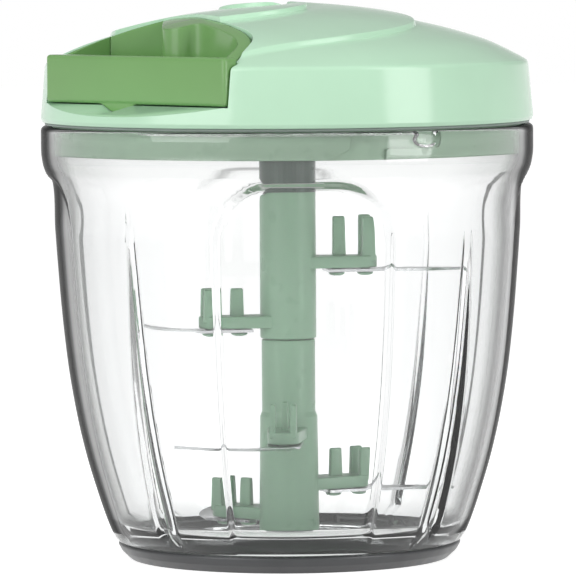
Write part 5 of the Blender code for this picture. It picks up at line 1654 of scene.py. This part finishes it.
    def groove(self, angle: float, bowl: Bowl) -> Object:
        """A bayonet groove: open below at its entry, then level to the lug's locked place.

        Args:
            angle: The lug's locked place in plan.
            bowl: The bowl whose lug runs in it.

        Returns:
            The cutting tool.
        """
        half = bowl.lug_half_width / self.skirt_radius
        play = self.groove_play
        low = bowl.lug_height - bowl.lug_half_height - self.groove_clearance
        high = bowl.lug_height + bowl.lug_half_height + self.groove_clearance
        left = (angle - self.lid_twist - half - play) * self.skirt_radius
        right = (angle - self.lid_twist + half + play) * self.skirt_radius
        end = (angle + half + play) * self.skirt_radius
        mouth = self.skirt_bottom - OVERRUN
        ramp = self.lead_in * self.skirt_radius
        corners = [
            (left - ramp, mouth, 0.0),
            (right, mouth, 0.0),
            (right, low, self.groove_mouth_edge),
            (end, low, self.groove_end_edge),
            (end, high, self.groove_end_edge),
            (left, high, self.groove_top_edge),
            (left, low, self.groove_ramp_edge),
            (left - ramp, self.skirt_bottom, 0.0),
        ]
        bm = extruded(rounded(corners, 6), 0.0, 1.0)
        for i in range(1, self.groove_columns):
            across = left - ramp + (end - left + ramp) * i / self.groove_columns
            geometry = bm.verts[:] + bm.edges[:] + bm.faces[:]
            bmesh.ops.bisect_plane(bm, geom=geometry, dist=MERGE, plane_co=(across, 0, 0), plane_no=(1, 0, 0))
        for vert in bm.verts:
            radius = self.skirt_radius + (OVERRUN if vert.co.z > 0.5 else -self.groove_depth)
            vert.co = Vector((*polar(radius, vert.co.x / self.skirt_radius), vert.co.y))
        return make_object(bm, "groove_tool")

    def base(self, bowl: Bowl) -> Object:
        """Makes the sage plate with its skirt, hub tube, stiffening ring and grooves.

        Args:
            bowl: The bowl whose lugs it locks on.

        Returns:
            The seated base.
        """
        inner = self.skirt_radius - self.skirt_wall
        tube = self.hub_bore + self.hub_tube_wall
        corners = [
            (self.plate_radius, self.plate_top, self.plate_edge),
            (self.plate_radius, self.plate_bottom, 0.0),
            (self.skirt_radius, self.plate_bottom, 0.0),
            (self.skirt_radius, self.skirt_bottom, self.skirt_edge),
            (inner, self.skirt_bottom, self.skirt_edge),
            (inner, self.plate_bottom, self.plate_fillet),
            (tube, self.plate_bottom, self.plate_fillet),
            (tube, self.hub_tube_bottom, self.tube_edge),
            (self.hub_bore, self.hub_tube_bottom, 0.0),
            (self.hub_bore, self.plate_top, 0.0),
        ]
        base = make_object(spun(rounded(corners), 192), "sage_lid_base", self.finishes.sage, sharp=0.7)
        steps = [(Operation.CUT, self.groove(angle, bowl)) for angle in bowl.lug_angles]
        for angle in self.screw_angles:
            outline = disc_outline(polar(self.screw_circle, angle), self.screw_radius + GAP, 24)
            hole = block(outline, self.plate_bottom - OVERRUN, self.plate_top + OVERRUN)
            steps.append((Operation.CUT, hole))
        return seat(carve(base, steps, sharp=0.7), "lid", "sage_plastic", "lid_base")

    def gasket(self) -> Object:
        """Makes the gasket with its rounded lips.

        Returns:
            The seated gasket.
        """
        edge = self.gasket_edge
        corners = [
            (self.gasket_outer, self.gasket_top, edge),
            (self.gasket_outer, self.gasket_bottom, edge),
            (self.gasket_inner, self.gasket_bottom, edge),
            (self.gasket_inner, self.gasket_top, edge),
        ]
        ring = make_object(spun(rounded(corners), 192), "lid_gasket", self.finishes.seal)
        return seat(ring, "lid", "silicone", "seal_ring")

    def screw(self, number: int) -> Object:
        """Makes a cover screw with a domed head, a cross recess and a pointed thread.

        Args:
            number: Which screw, from 0.

        Returns:
            The seated screw.
        """
        under = self.plate_bottom - GAP
        tip = self.plate_top + self.screw_grip - GAP * 2
        head = under - self.screw_head_height
        shank = tip - self.screw_radius
        profile = [(0.0, tip), (self.screw_radius * 0.4, tip), (self.screw_radius * 0.85, shank)]
        rows = self.screw_threads * 2
        for i in range(rows):
            radius = self.screw_radius * (1.0 if i % 2 else self.screw_core_share)
            profile.append((radius, shank - (shank - under) * (i + 0.5) / rows))
        profile += [
            (self.screw_radius, under),
            (self.screw_head, under),
            (self.screw_head, under - self.screw_head_height * 0.35),
            (self.screw_head * 0.86, under - self.screw_head_height * 0.78),
            (self.screw_head * 0.5, head),
            (0.0, head),
        ]
        where = Matrix.Translation((*polar(self.screw_circle, self.screw_angles[number]), 0.0))
        screw = make_object(move(spun(profile, 32), where), f"lid_screw_{number + 1}", self.finishes.steel)
        steps = []
        for turn in (0.0, math.pi / 2):
            bm = bmesh.new()
            bmesh.ops.create_cube(bm, size=1.0)
            bmesh.ops.scale(bm, vec=(self.screw_head * 1.2, self.slot_width, self.slot_depth), verts=bm.verts)
            spot = where @ Matrix.Translation((0.0, 0.0, head)) @ Matrix.Rotation(turn, 4, "Z")
            steps.append((Operation.CUT, make_object(move(bm, spot), "slot_tool")))
        return seat(carve(screw, steps), "lid", "steel", f"cover_screw_{number + 1}")

    def build(self, bowl: Bowl, handle: "PullHandle") -> None:
        """Makes the lid's pieces.

        Args:
            bowl: The bowl under it.
            handle: The handle in its recess.
        """
        self.cover(handle)
        self.base(bowl)
        self.gasket()
        for number in range(len(self.screw_angles)):
            self.screw(number)


@dataclass
class PullHandle:
    """The green handle: a flat front bar, a finger hollow behind it and the knot's tower."""

    finishes: Finishes
    face: float = 53.5 * MM
    half_width: float = 32.0 * MM
    bar_thickness: float = 4.6 * MM
    bottom: float = 116.4 * MM
    bar_top: float = 128.3 * MM
    bar_edge: float = 0.9 * MM
    floor: float = 118.4 * MM
    cup_wall: float = 3.2 * MM
    side_wall: float = 2.2 * MM
    clearance: float = 0.5 * MM
    corner: float = 22.0 * MM
    drop: float = 0.25 * MM
    wing_bottom: float = 126.2 * MM
    wing_thickness: float = 1.2 * MM
    wing_radius: float = 61.2 * MM
    tub_wall: float = 1.6 * MM
    shelf_height: float = 113.5 * MM
    shelf_ground: float = 113.7 * MM
    tab_place: float = -6.0 * MM
    tab_width: float = 13.4 * MM
    tab_depth: float = 2.0 * MM
    tab_length: float = 3.4 * MM
    tab_shoulder_share: float = 0.8
    valley: Point = (2.34 * MM, -35.25 * MM)
    valley_radius: float = 3.0 * MM
    valley_start: float = math.radians(72.2)
    facet: tuple[Point, ...] = (
        (34.9 * MM, -51.8 * MM),
        (32.4 * MM, -53.15 * MM),
        (32.4 * MM, -58.0 * MM),
        (39.0 * MM, -58.0 * MM),
    )
    knot: Point = (-5.0 * MM, -31.6 * MM)
    knot_height: float = 122.4 * MM
    tower_radius: float = 5.2 * MM
    well_radius: float = 3.0 * MM
    well_top: float = 126.0 * MM
    cord_hole: float = 1.3 * MM
    sky: float = 146.0 * MM
    eyelet_hole: float = 2.8 * MM
    eyelet_back: float = -20.0 * MM
    eyelet_front: float = -27.0 * MM
    lead_start: float = -21.8 * MM
    fold_inset: float = 1.7 * MM
    fillet_gap: float = 0.4 * MM
    dome_rows: int = 24
    shoulder_drop: float = 0.9 * MM
    tub_floor: float = 1.5 * MM
    tab_inset: float = 0.3 * MM
    tab_steps: int = 32
    rim_shares: tuple[Point, ...] = (
        (0.955, -0.895),
        (0.880, -0.775),
        (0.790, -0.705),
        (0.640, -0.650),
        (0.400, -0.600),
        (0.010, -0.525),
        (-0.250, -0.468),
    )

    def rim(self) -> list[Point]:
        """The cup's right rim and back as a smooth line through its listed points.

        Returns:
            The rim's points.
        """
        spots = [(x * self.half_width, y * self.face) for x, y in self.rim_shares]
        spots = [(self.half_width, -self.face + self.bar_thickness / 2), *spots, (-self.corner, -self.corner)]
        points = []
        steps = 6
        for i in range(len(spots) - 1):
            before = Vector(spots[max(i - 1, 0)])
            start, end = Vector(spots[i]), Vector(spots[i + 1])
            after = Vector(spots[min(i + 2, len(spots) - 1)])
            for k in range(steps):
                share = k / steps
                points.append(tuple(self.blend_point(before, start, end, after, share)))
        return [*points, spots[-1]]

    @staticmethod
    def blend_point(before: Vector, start: Vector, end: Vector, after: Vector, share: float) -> Vector:
        """A point on the smooth curve from start to end, led by their neighbours.

        Args:
            before: The point before the run.
            start: The run's start.
            end: Its end.
            after: The point after it.
            share: How far along the run.

        Returns:
            The point.
        """
        near = (end - before) / 2
        far = (after - start) / 2
        square, cube = share ** 2, share ** 3
        return (
            start * (2 * cube - 3 * square + 1) + near * (cube - 2 * square + share)
            + end * (3 * square - 2 * cube) + far * (cube - square)
        )

    def outline(self) -> list[Point]:
        """The handle's plan, anticlockwise: bar, right rim, curved back, flat left wall."""
        points = [(-self.half_width, -self.face), (self.half_width, -self.face)]
        return [*points, *self.rim(), (-self.half_width, -self.half_width)]

    def wing(self, radius: float) -> list[Point]:
        """The corner that reaches left over the cover's shoulder, in plan.

        Args:
            radius: How far out the corner reaches.

        Returns:
            The outline.
        """
        inner = self.half_width - self.bar_thickness
        end = -math.atan2(self.face, -self.half_width)
        points = [(-inner, -inner)]
        points += arc((0.0, 0.0), radius, math.radians(-135.0), end, 12)
        return [*points, (-inner, -self.face + self.bar_thickness / 2)]

    def hollow(self) -> list[Point]:
        """The finger hollow in plan, anticlockwise, its back bulging round the knot's tower.

        Returns:
            The outline.
        """
        front = -self.face + self.bar_thickness
        right = [point for point in offset(self.outline(), -self.cup_wall)[3:-2] if point[1] > front]
        towards = math.atan2(self.knot[1] - self.valley[1], self.knot[0] - self.valley[0])
        fillet = arc(self.valley, self.valley_radius, self.valley_start, towards, 10)
        tower = arc(self.knot, self.tower_radius, towards - math.pi, math.radians(-135.0), 18)
        side = [point for point in right if point[0] > fillet[0][0] + self.fillet_gap]
        fold_x = -self.corner + self.fold_inset
        fold = (fold_x, fold_x - self.side_wall * 1.5)
        left = -self.half_width + self.side_wall
        points = [(left, front), (side[0][0] - self.fillet_gap, front)]
        return [*points, *side, *fillet, *tower[1:], fold, (left, left - self.side_wall * 1.5)]

    def dome_tool(self, lid: Lid) -> Object:
        """Everything under the dome's surface, for trimming the handle to it.

        Args:
            lid: The lid it lies in.

        Returns:
            The tool.
        """
        profile = [(0.0, lid.dome_top - self.drop + lid.petal_rise / 2)]
        for i in range(1, self.dome_rows + 1):
            share = i / self.dome_rows
            radius = lid.shoulder_radius * share
            profile.append((radius, lid.dome_height(radius) - self.drop + lid.petal_rise / 2 * (1.0 - share)))
        profile.append((lid.radius, lid.shoulder_height - self.shoulder_drop))
        profile += [(lid.radius, lid.plate_bottom), (0.0, lid.plate_bottom)]
        return make_object(spun(profile, 144), "dome_tool")

    def tub_tool(self) -> Object:
        """The block round the handle's recess that stays solid in the cover."""
        outline = offset(self.outline(), self.clearance + self.tub_wall)
        return block(outline, self.bottom - GAP - self.tub_floor, self.sky)

    def tab_outline(self, clearance: float) -> list[Point]:
        """The tab under the bar as (x, height) points: a half round, faired into the bar.

        Args:
            clearance: How much wider and deeper it is than the tab itself.

        Returns:
            The outline, closed inside the bar.
        """
        half = self.tab_width / 2 + clearance
        points = []
        for i in range(self.tab_steps + 1):
            place = -1.0 + 2.0 * i / self.tab_steps
            drop = soft_step(1.0 - abs(place), 0.0, self.tab_shoulder_share)
            points.append((self.tab_place + place * half, self.bottom - drop * (self.tab_depth + clearance)))
        top = self.bottom + self.bar_edge * 2
        return [*points, (points[-1][0], top), (points[0][0], top)]

    def tab(self, clearance: float, back: float, front: float) -> Object:
        """The tab, or the notch that clears it, between two places along Y.

        Args:
            clearance: How much larger it is than the tab.
            back: Its back along Y.
            front: Its front along Y.

        Returns:
            The tool.
        """
        bm = extruded(self.tab_outline(clearance), 0.0, back - front)
        stand = Matrix.Translation((0.0, back, 0.0)) @ Matrix.Rotation(math.pi / 2, 4, "X")
        return make_object(move(bm, stand), "tab_tool")

    def shelf(self, lid: Lid) -> Object:
        """Opens the skirt in front of the bar, its underside sloping down to the skirt.

        Args:
            lid: The lid it lies in.

        Returns:
            The cutting tool.
        """
        inner = -self.face + self.bar_thickness
        front = -lid.radius - OVERRUN
        floor = self.bottom - GAP
        slope = (floor - self.shelf_height) / (lid.radius - self.face)
        section = [
            (inner, floor), (-self.face, floor), (front, self.shelf_height - slope * OVERRUN),
            (front, self.sky), (inner, self.sky),
        ]
        side = self.half_width + self.clearance
        bm = extruded(section, -side, side)
        stand = Matrix(((0, 0, 1, 0), (1, 0, 0, 0), (0, 1, 0, 0), (0, 0, 0, 1)))
        return make_object(move(bm, stand), "shelf_tool")

    def ground(self, lid: Lid) -> Object:
        """The block that stays solid in the cover under the shelf and the bar.

        Args:
            lid: The lid it lies in.

        Returns:
            The tool.
        """
        front, back = -lid.radius - OVERRUN, -self.face + self.bar_thickness + self.clearance
        outline = [(front, front), (-front, front), (-front, back), (front, back)]
        return block(outline, self.shelf_ground, self.sky)

    def lying_disc(self, radius: float, back: float, front: float) -> Object:
        """A round tool along the cord's lead, from one place along Y to another.

        Args:
            radius: Its radius.
            back: Where it starts.
            front: Where it ends.

        Returns:
            The tool.
        """
        bm = rod(radius, 0.0, back - front, 40)
        place = Matrix.Translation((self.knot[0], back, self.knot_height))
        return make_object(move(bm, place @ Matrix.Rotation(math.pi / 2, 4, "X")), "lead_tool")

    def recess_tools(self, lid: Lid) -> list[Object]:
        """The tools that open the cover for the handle, its wing, its tab and the eyelet.

        Args:
            lid: The lid it lies in.

        Returns:
            The cutting tools.
        """
        wing = offset(self.wing(lid.radius + OVERRUN), self.clearance)
        notch_back = -self.face + self.tab_length + self.clearance
        return [
            block(offset(self.outline(), self.clearance), self.bottom - GAP, self.sky),
            block(wing, self.wing_bottom - GAP, self.sky),
            self.shelf(lid),
            block(self.facet, self.shelf_height, self.sky),
            self.tab(GAP, notch_back, -lid.radius - OVERRUN),
            self.lying_disc(self.eyelet_hole, self.eyelet_back, self.eyelet_front),
        ]

    def bar(self) -> Object:
        """The front bar with rounded edges.

        Returns:
            The bar as a tool.
        """
        bm = bmesh.new()
        bmesh.ops.create_cube(bm, size=1.0)
        height = self.bar_top - self.bottom
        bmesh.ops.scale(bm, vec=(self.half_width * 2, self.bar_thickness, height), verts=bm.verts)
        soften(bm, self.bar_edge, 5)
        middle = (0.0, -self.face + self.bar_thickness / 2, self.bottom + height / 2)
        return make_object(move(bm, Matrix.Translation(middle)), "bar_tool")

    def front_block(self, margin: float, depth: float, bottom: float) -> Object:
        """A tool over the bar's plan, reaching back by a depth.

        Args:
            margin: How far it passes the bar.
            depth: How far it reaches back.
            bottom: Its underside.

        Returns:
            The tool.
        """
        half, front = self.half_width + margin, -self.face - margin
        outline = [(-half, front), (half, front), (half, -self.face + depth), (-half, -self.face + depth)]
        return block(outline, bottom, self.sky + OVERRUN)

    def build(self, lid: Lid) -> Object:
        """Makes the handle and seats it.

        Args:
            lid: The lid it lies in.

        Returns:
            The seated handle.
        """
        body = extruded(self.outline(), self.bottom, self.sky)
        handle = make_object(body, "green_pull_handle", self.finishes.green)
        wing = block(self.wing(self.wing_radius), self.wing_bottom, self.sky)
        wing = carve(wing, [(Operation.KEEP, self.dome_tool(lid))])
        left = -self.half_width + self.side_wall
        reach = -self.corner * 3
        lee = [
            (left, left - self.side_wall * 1.5),
            (reach, reach - self.side_wall * 1.5),
            (reach, -self.face * 2),
            (left, -self.face * 2),
        ]
        well = disc_outline(self.knot, self.well_radius, 32)
        steps = [
            (Operation.KEEP, self.dome_tool(lid)),
            (Operation.JOIN, wing),
            (Operation.CUT, block(lee, self.wing_bottom + self.wing_thickness, self.sky)),
            (Operation.CUT, self.front_block(self.bar_edge, self.bar_thickness / 2, self.bottom - OVERRUN)),
            (Operation.JOIN, self.bar()),
            (Operation.CUT, self.front_block(OVERRUN, self.bar_thickness + GAP, self.bar_top)),
            (Operation.CUT, block(self.hollow(), self.floor, self.sky)),
            (Operation.JOIN, self.tab(0.0, -self.face + self.tab_length, -self.face + self.tab_inset)),
            (Operation.CUT, block(well, self.bottom - OVERRUN, self.well_top)),
            (Operation.CUT, self.lying_disc(self.cord_hole, self.lead_start, self.knot[1])),
        ]
        return seat(carve(handle, steps, sharp=0.5), "handle", "green_plastic", "pull_handle")


@dataclass
class CordDrive:
    """The pull cord: its turns on the spool, the lead through the eyelet and the stop knot."""

    finishes: Finishes
    cord_radius: float = 0.8 * MM
    winding_radius: float = 16.0 * MM
    winding_pitch: float = 2.05 * MM
    winding_turns: float = 3.9
    winding_low: float = 121.5 * MM
    winding_steps: int = 180
    leave_angle: float = math.radians(-147.24)
    turn_place: Point = (-5.0 * MM, -21.8 * MM)
    bend_radius: float = 5.0 * MM
    eyelet_end: float = -24.4 * MM
    knot_tail: float = 0.35
    knot_scale: float = 0.64 * MM
    knot_cord: float = 0.62 * MM
    knot_reach: float = 1.0 * MM

    def winding(self) -> list[Vector]:
        """The helix on the spool, from its top turn down to where the lead leaves.

        Returns:
            The cord's middle line.
        """
        points = []
        for i in range(self.winding_steps + 1):
            left = self.winding_turns * (1.0 - i / self.winding_steps)
            x, y = polar(self.winding_radius, self.leave_angle - TURN * left)
            points.append(Vector((x, y, self.winding_low + self.winding_pitch * left)))
        return points

    def lead(self, handle: PullHandle) -> list[Vector]:
        """The lead: straight from the spool, bent at the eyelet and straight on to the knot.

        Args:
            handle: The handle it runs to.

        Returns:
            The cord's middle line.
        """
        leave = Vector(polar(self.winding_radius, self.leave_angle))
        turn = Vector(self.turn_place)
        inward = (turn - leave).normalized()
        outward = Vector((0.0, -1.0))
        reach = self.bend_radius * math.tan(math.acos(inward.dot(outward)) / 2)
        first, last = turn - inward * reach, turn + outward * reach
        points = []
        for i in range(10):
            share = i / 10
            flat = leave.lerp(first, share)
            height = self.winding_low + (handle.knot_height - self.winding_low) * soft_step(share, 0.0, 1.0)
            points.append(Vector((*flat, height)))
        for i in range(9):
            share = i / 8
            flat = first.lerp(turn, share).lerp(turn.lerp(last, share), share)
            points.append(Vector((*flat, handle.knot_height)))
        end = handle.knot[1] + self.knot_reach
        for i in range(1, 33):
            points.append(Vector((turn.x, last.y + (end - last.y) * i / 32, handle.knot_height)))
        return points

    def knot(self, handle: PullHandle) -> list[Vector]:
        """An overhand knot across the lead, its tail left open.

        Args:
            handle: The handle it runs to.

        Returns:
            The cord's middle line.
        """
        points = []
        steps = 96
        for i in range(steps + 1):
            t = self.knot_tail / 2 + (TURN - self.knot_tail) * i / steps
            x = math.sin(t) + 2.0 * math.sin(2.0 * t)
            z = math.cos(t) - 2.0 * math.cos(2.0 * t)
            spot = Vector((x, -math.sin(3.0 * t), z)) * self.knot_scale
            points.append(spot + Vector((*handle.knot, handle.knot_height)))
        return points

    def build(self, handle: PullHandle) -> None:
        """Makes the cord's three pieces.

        Args:
            handle: The handle it runs to.
        """
        turns = make_object(tube(self.winding(), self.cord_radius), "cord_winding", self.finishes.cord)
        seat(turns, "spool_body", "white_cord", "pull_cord")
        lead = make_object(tube(self.lead(handle), self.cord_radius), "cord_lead", self.finishes.cord)
        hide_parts("pull_cord")
        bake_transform(lead)
        LOG.info("cord_lead bends between lid and handle: %d faces", len(lead.data.polygons))
        knot = make_object(tube(self.knot(handle), self.knot_cord), "cord_stop_knot", self.finishes.cord)
        seat(knot, "handle", "white_cord", "cord_knot")


@dataclass
class Studio:
    """The pale floor, the soft lights and the camera at the photograph's angle."""

    distance: float = 1.45
    camera_height: float = 0.163
    aim_height: float = 0.0683
    aim_side: float = 0.0
    azimuth: float = math.radians(45.0)
    roll: float = math.radians(-0.35)
    lens: float = 357.5
    sensor: float = 36.0
    floor_radius: float = 4.0
    floor_tones: tuple[Colour, ...] = ((0.54, 0.54, 0.54), (0.56, 0.56, 0.56))
    mottle_scale: float = 6.0
    backdrop: float = 1.0
    ambient: float = 0.37
    floor_glow: float = 0.82
    sky_levels: tuple[Point, ...] = ((0.02, 1.0), (0.12, 0.6), (0.30, 0.3), (1.0, 0.3))

    def camera(self) -> None:
        """Makes the camera and points it."""
        data = bpy.data.cameras.new("camera")
        data.lens = self.lens
        data.sensor_width = self.sensor
        data.clip_end = 50.0
        camera = bpy.data.objects.new("camera", data)
        bpy.context.scene.collection.objects.link(camera)
        away = Vector((math.sin(self.azimuth), -math.cos(self.azimuth), 0.0))
        side = Vector((math.cos(self.azimuth), math.sin(self.azimuth), 0.0))
        eye = away * self.distance + side * self.aim_side
        eye.z = self.camera_height
        aim = side * self.aim_side
        aim.z = self.aim_height
        turn = (aim - eye).to_track_quat("-Z", "Y").to_matrix().to_4x4()
        camera.matrix_world = Matrix.Translation(eye) @ turn @ Matrix.Rotation(self.roll, 4, "Z")
        bpy.context.scene.camera = camera

    def softbox(self, name: str, angle: float, height: float, away: float, size: Point, power: float) -> None:
        """A rectangular soft light that faces the object.

        Args:
            name: The light's name.
            angle: Its place round the object, in degrees from the camera's side towards the right.
            height: Its height above the floor.
            away: Its distance from the axis.
            size: Its width and height.
            power: Its power in watts.
        """
        data = bpy.data.lights.new(name, "AREA")
        data.shape = "RECTANGLE"
        data.size, data.size_y = size
        data.energy = power
        light = bpy.data.objects.new(name, data)
        bpy.context.scene.collection.objects.link(light)
        x, y = polar(away, self.azimuth - math.pi / 2 + math.radians(angle))
        light.location = (x, y, height)
        aim = Vector((0.0, 0.0, self.aim_height)) - Vector(light.location)
        light.rotation_euler = aim.to_track_quat("-Z", "Y").to_euler()

    def seen_level(self, tree: NodeTree, level: float) -> Socket:
        """A level for rays that see the backdrop, and nought for rays that only light.

        Args:
            tree: The material or world it is for.
            level: The level that the camera, a gloss and a clear piece see.

        Returns:
            The level's socket.
        """
        path = tree.add("LightPath")
        seen = path.outputs["Is Camera Ray"]
        for name in ("Is Glossy Ray", "Is Transmission Ray"):
            seen = tree.math("MAXIMUM", seen, path.outputs[name])
        return tree.math("MULTIPLY", seen, level)

    def world(self) -> None:
        """A white surround where it is seen, and a softer one where it only lights."""
        world = bpy.data.worlds.new("surround")
        bpy.context.scene.world = world
        world.use_nodes = True
        tree = NodeTree("surround", world.node_tree)
        height = tree.add("SeparateXYZ", {"Vector": tree.add("TexCoord").outputs["Generated"]}).outputs["Z"]
        sky = tree.levels(height, self.sky_levels)
        seen = tree.math("MULTIPLY", self.seen_level(tree, self.backdrop), sky)
        level = tree.math("MAXIMUM", seen, self.ambient)
        tree.finish(tree.add("Background", {"Strength": level}, Color=(1.0, 1.0, 1.0, 1.0)))

    def floor(self) -> None:
        """A pale round floor with the faintest mottle, white where it is seen."""
        tree = NodeTree("pale_floor")
        colour = tree.tint(tree.noise(self.mottle_scale), *self.floor_tones)
        glow = self.seen_level(tree, self.floor_glow)
        sockets = {"Base Color": colour, "Emission Strength": glow}
        shader = tree.add("BsdfPrincipled", sockets, Roughness=0.9, Emission_Color=(1.0, 1.0, 1.0, 1.0))
        material = tree.finish(shader)
        bm = bmesh.new()
        bmesh.ops.create_circle(bm, cap_ends=True, segments=96, radius=self.floor_radius)
        floor = make_object(bm, "floor", material)

    def build(self) -> None:
        """Makes the stage."""
        scene = bpy.context.scene
        scene.view_settings.view_transform = "Standard"
        self.camera()
        self.floor()
        self.world()
        self.softbox("left_softbox", -45.0, 0.6, 1.1, (0.9, 1.1), 9.0)
        self.softbox("right_softbox", 58.0, 0.55, 1.1, (0.5, 1.2), 6.8)
        self.softbox("top_softbox", 0.0, 1.5, 0.05, (1.2, 1.2), 0.5)


def dress_inner_parts(finishes: Finishes) -> None:
    """Gives every solid that is still shown its procedural finish.

    Args:
        finishes: The object's finishes.
    """
    dress = {
        "clear_plastic": finishes.clear,
        "mint_plastic": finishes.mint,
        "sage_plastic": finishes.sage,
        "green_plastic": finishes.green,
        "dark_plastic": finishes.dark,
        "grey_rubber": finishes.rubber,
        "silicone": finishes.seal,
        "white_nylon": finishes.nylon,
        "steel": finishes.steel,
        "white_cord": finishes.nylon,
    }
    slots = {row["node"]: row["material_slot"] for row in frame["record"]["subparts"]}
    for name, obj in frame["nodes"].items():
        obj.data.materials.clear()
        obj.data.materials.append(dress[slots[name]])


def main() -> None:
    """Builds the stage and every sub-assembly in order."""
    logging.basicConfig(level=logging.INFO, format="%(message)s")
    Studio().build()
    finishes = Finishes()
    dress_inner_parts(finishes)
    bowl = Bowl(finishes)
    bowl.build()
    Foot(finishes).build()
    BladeColumn(finishes).build()
    lid = Lid(finishes)
    handle = PullHandle(finishes)
    lid.build(bowl, handle)
    handle.build(lid)
    CordDrive(finishes).build(handle)


if __name__ == "__main__":
    main()
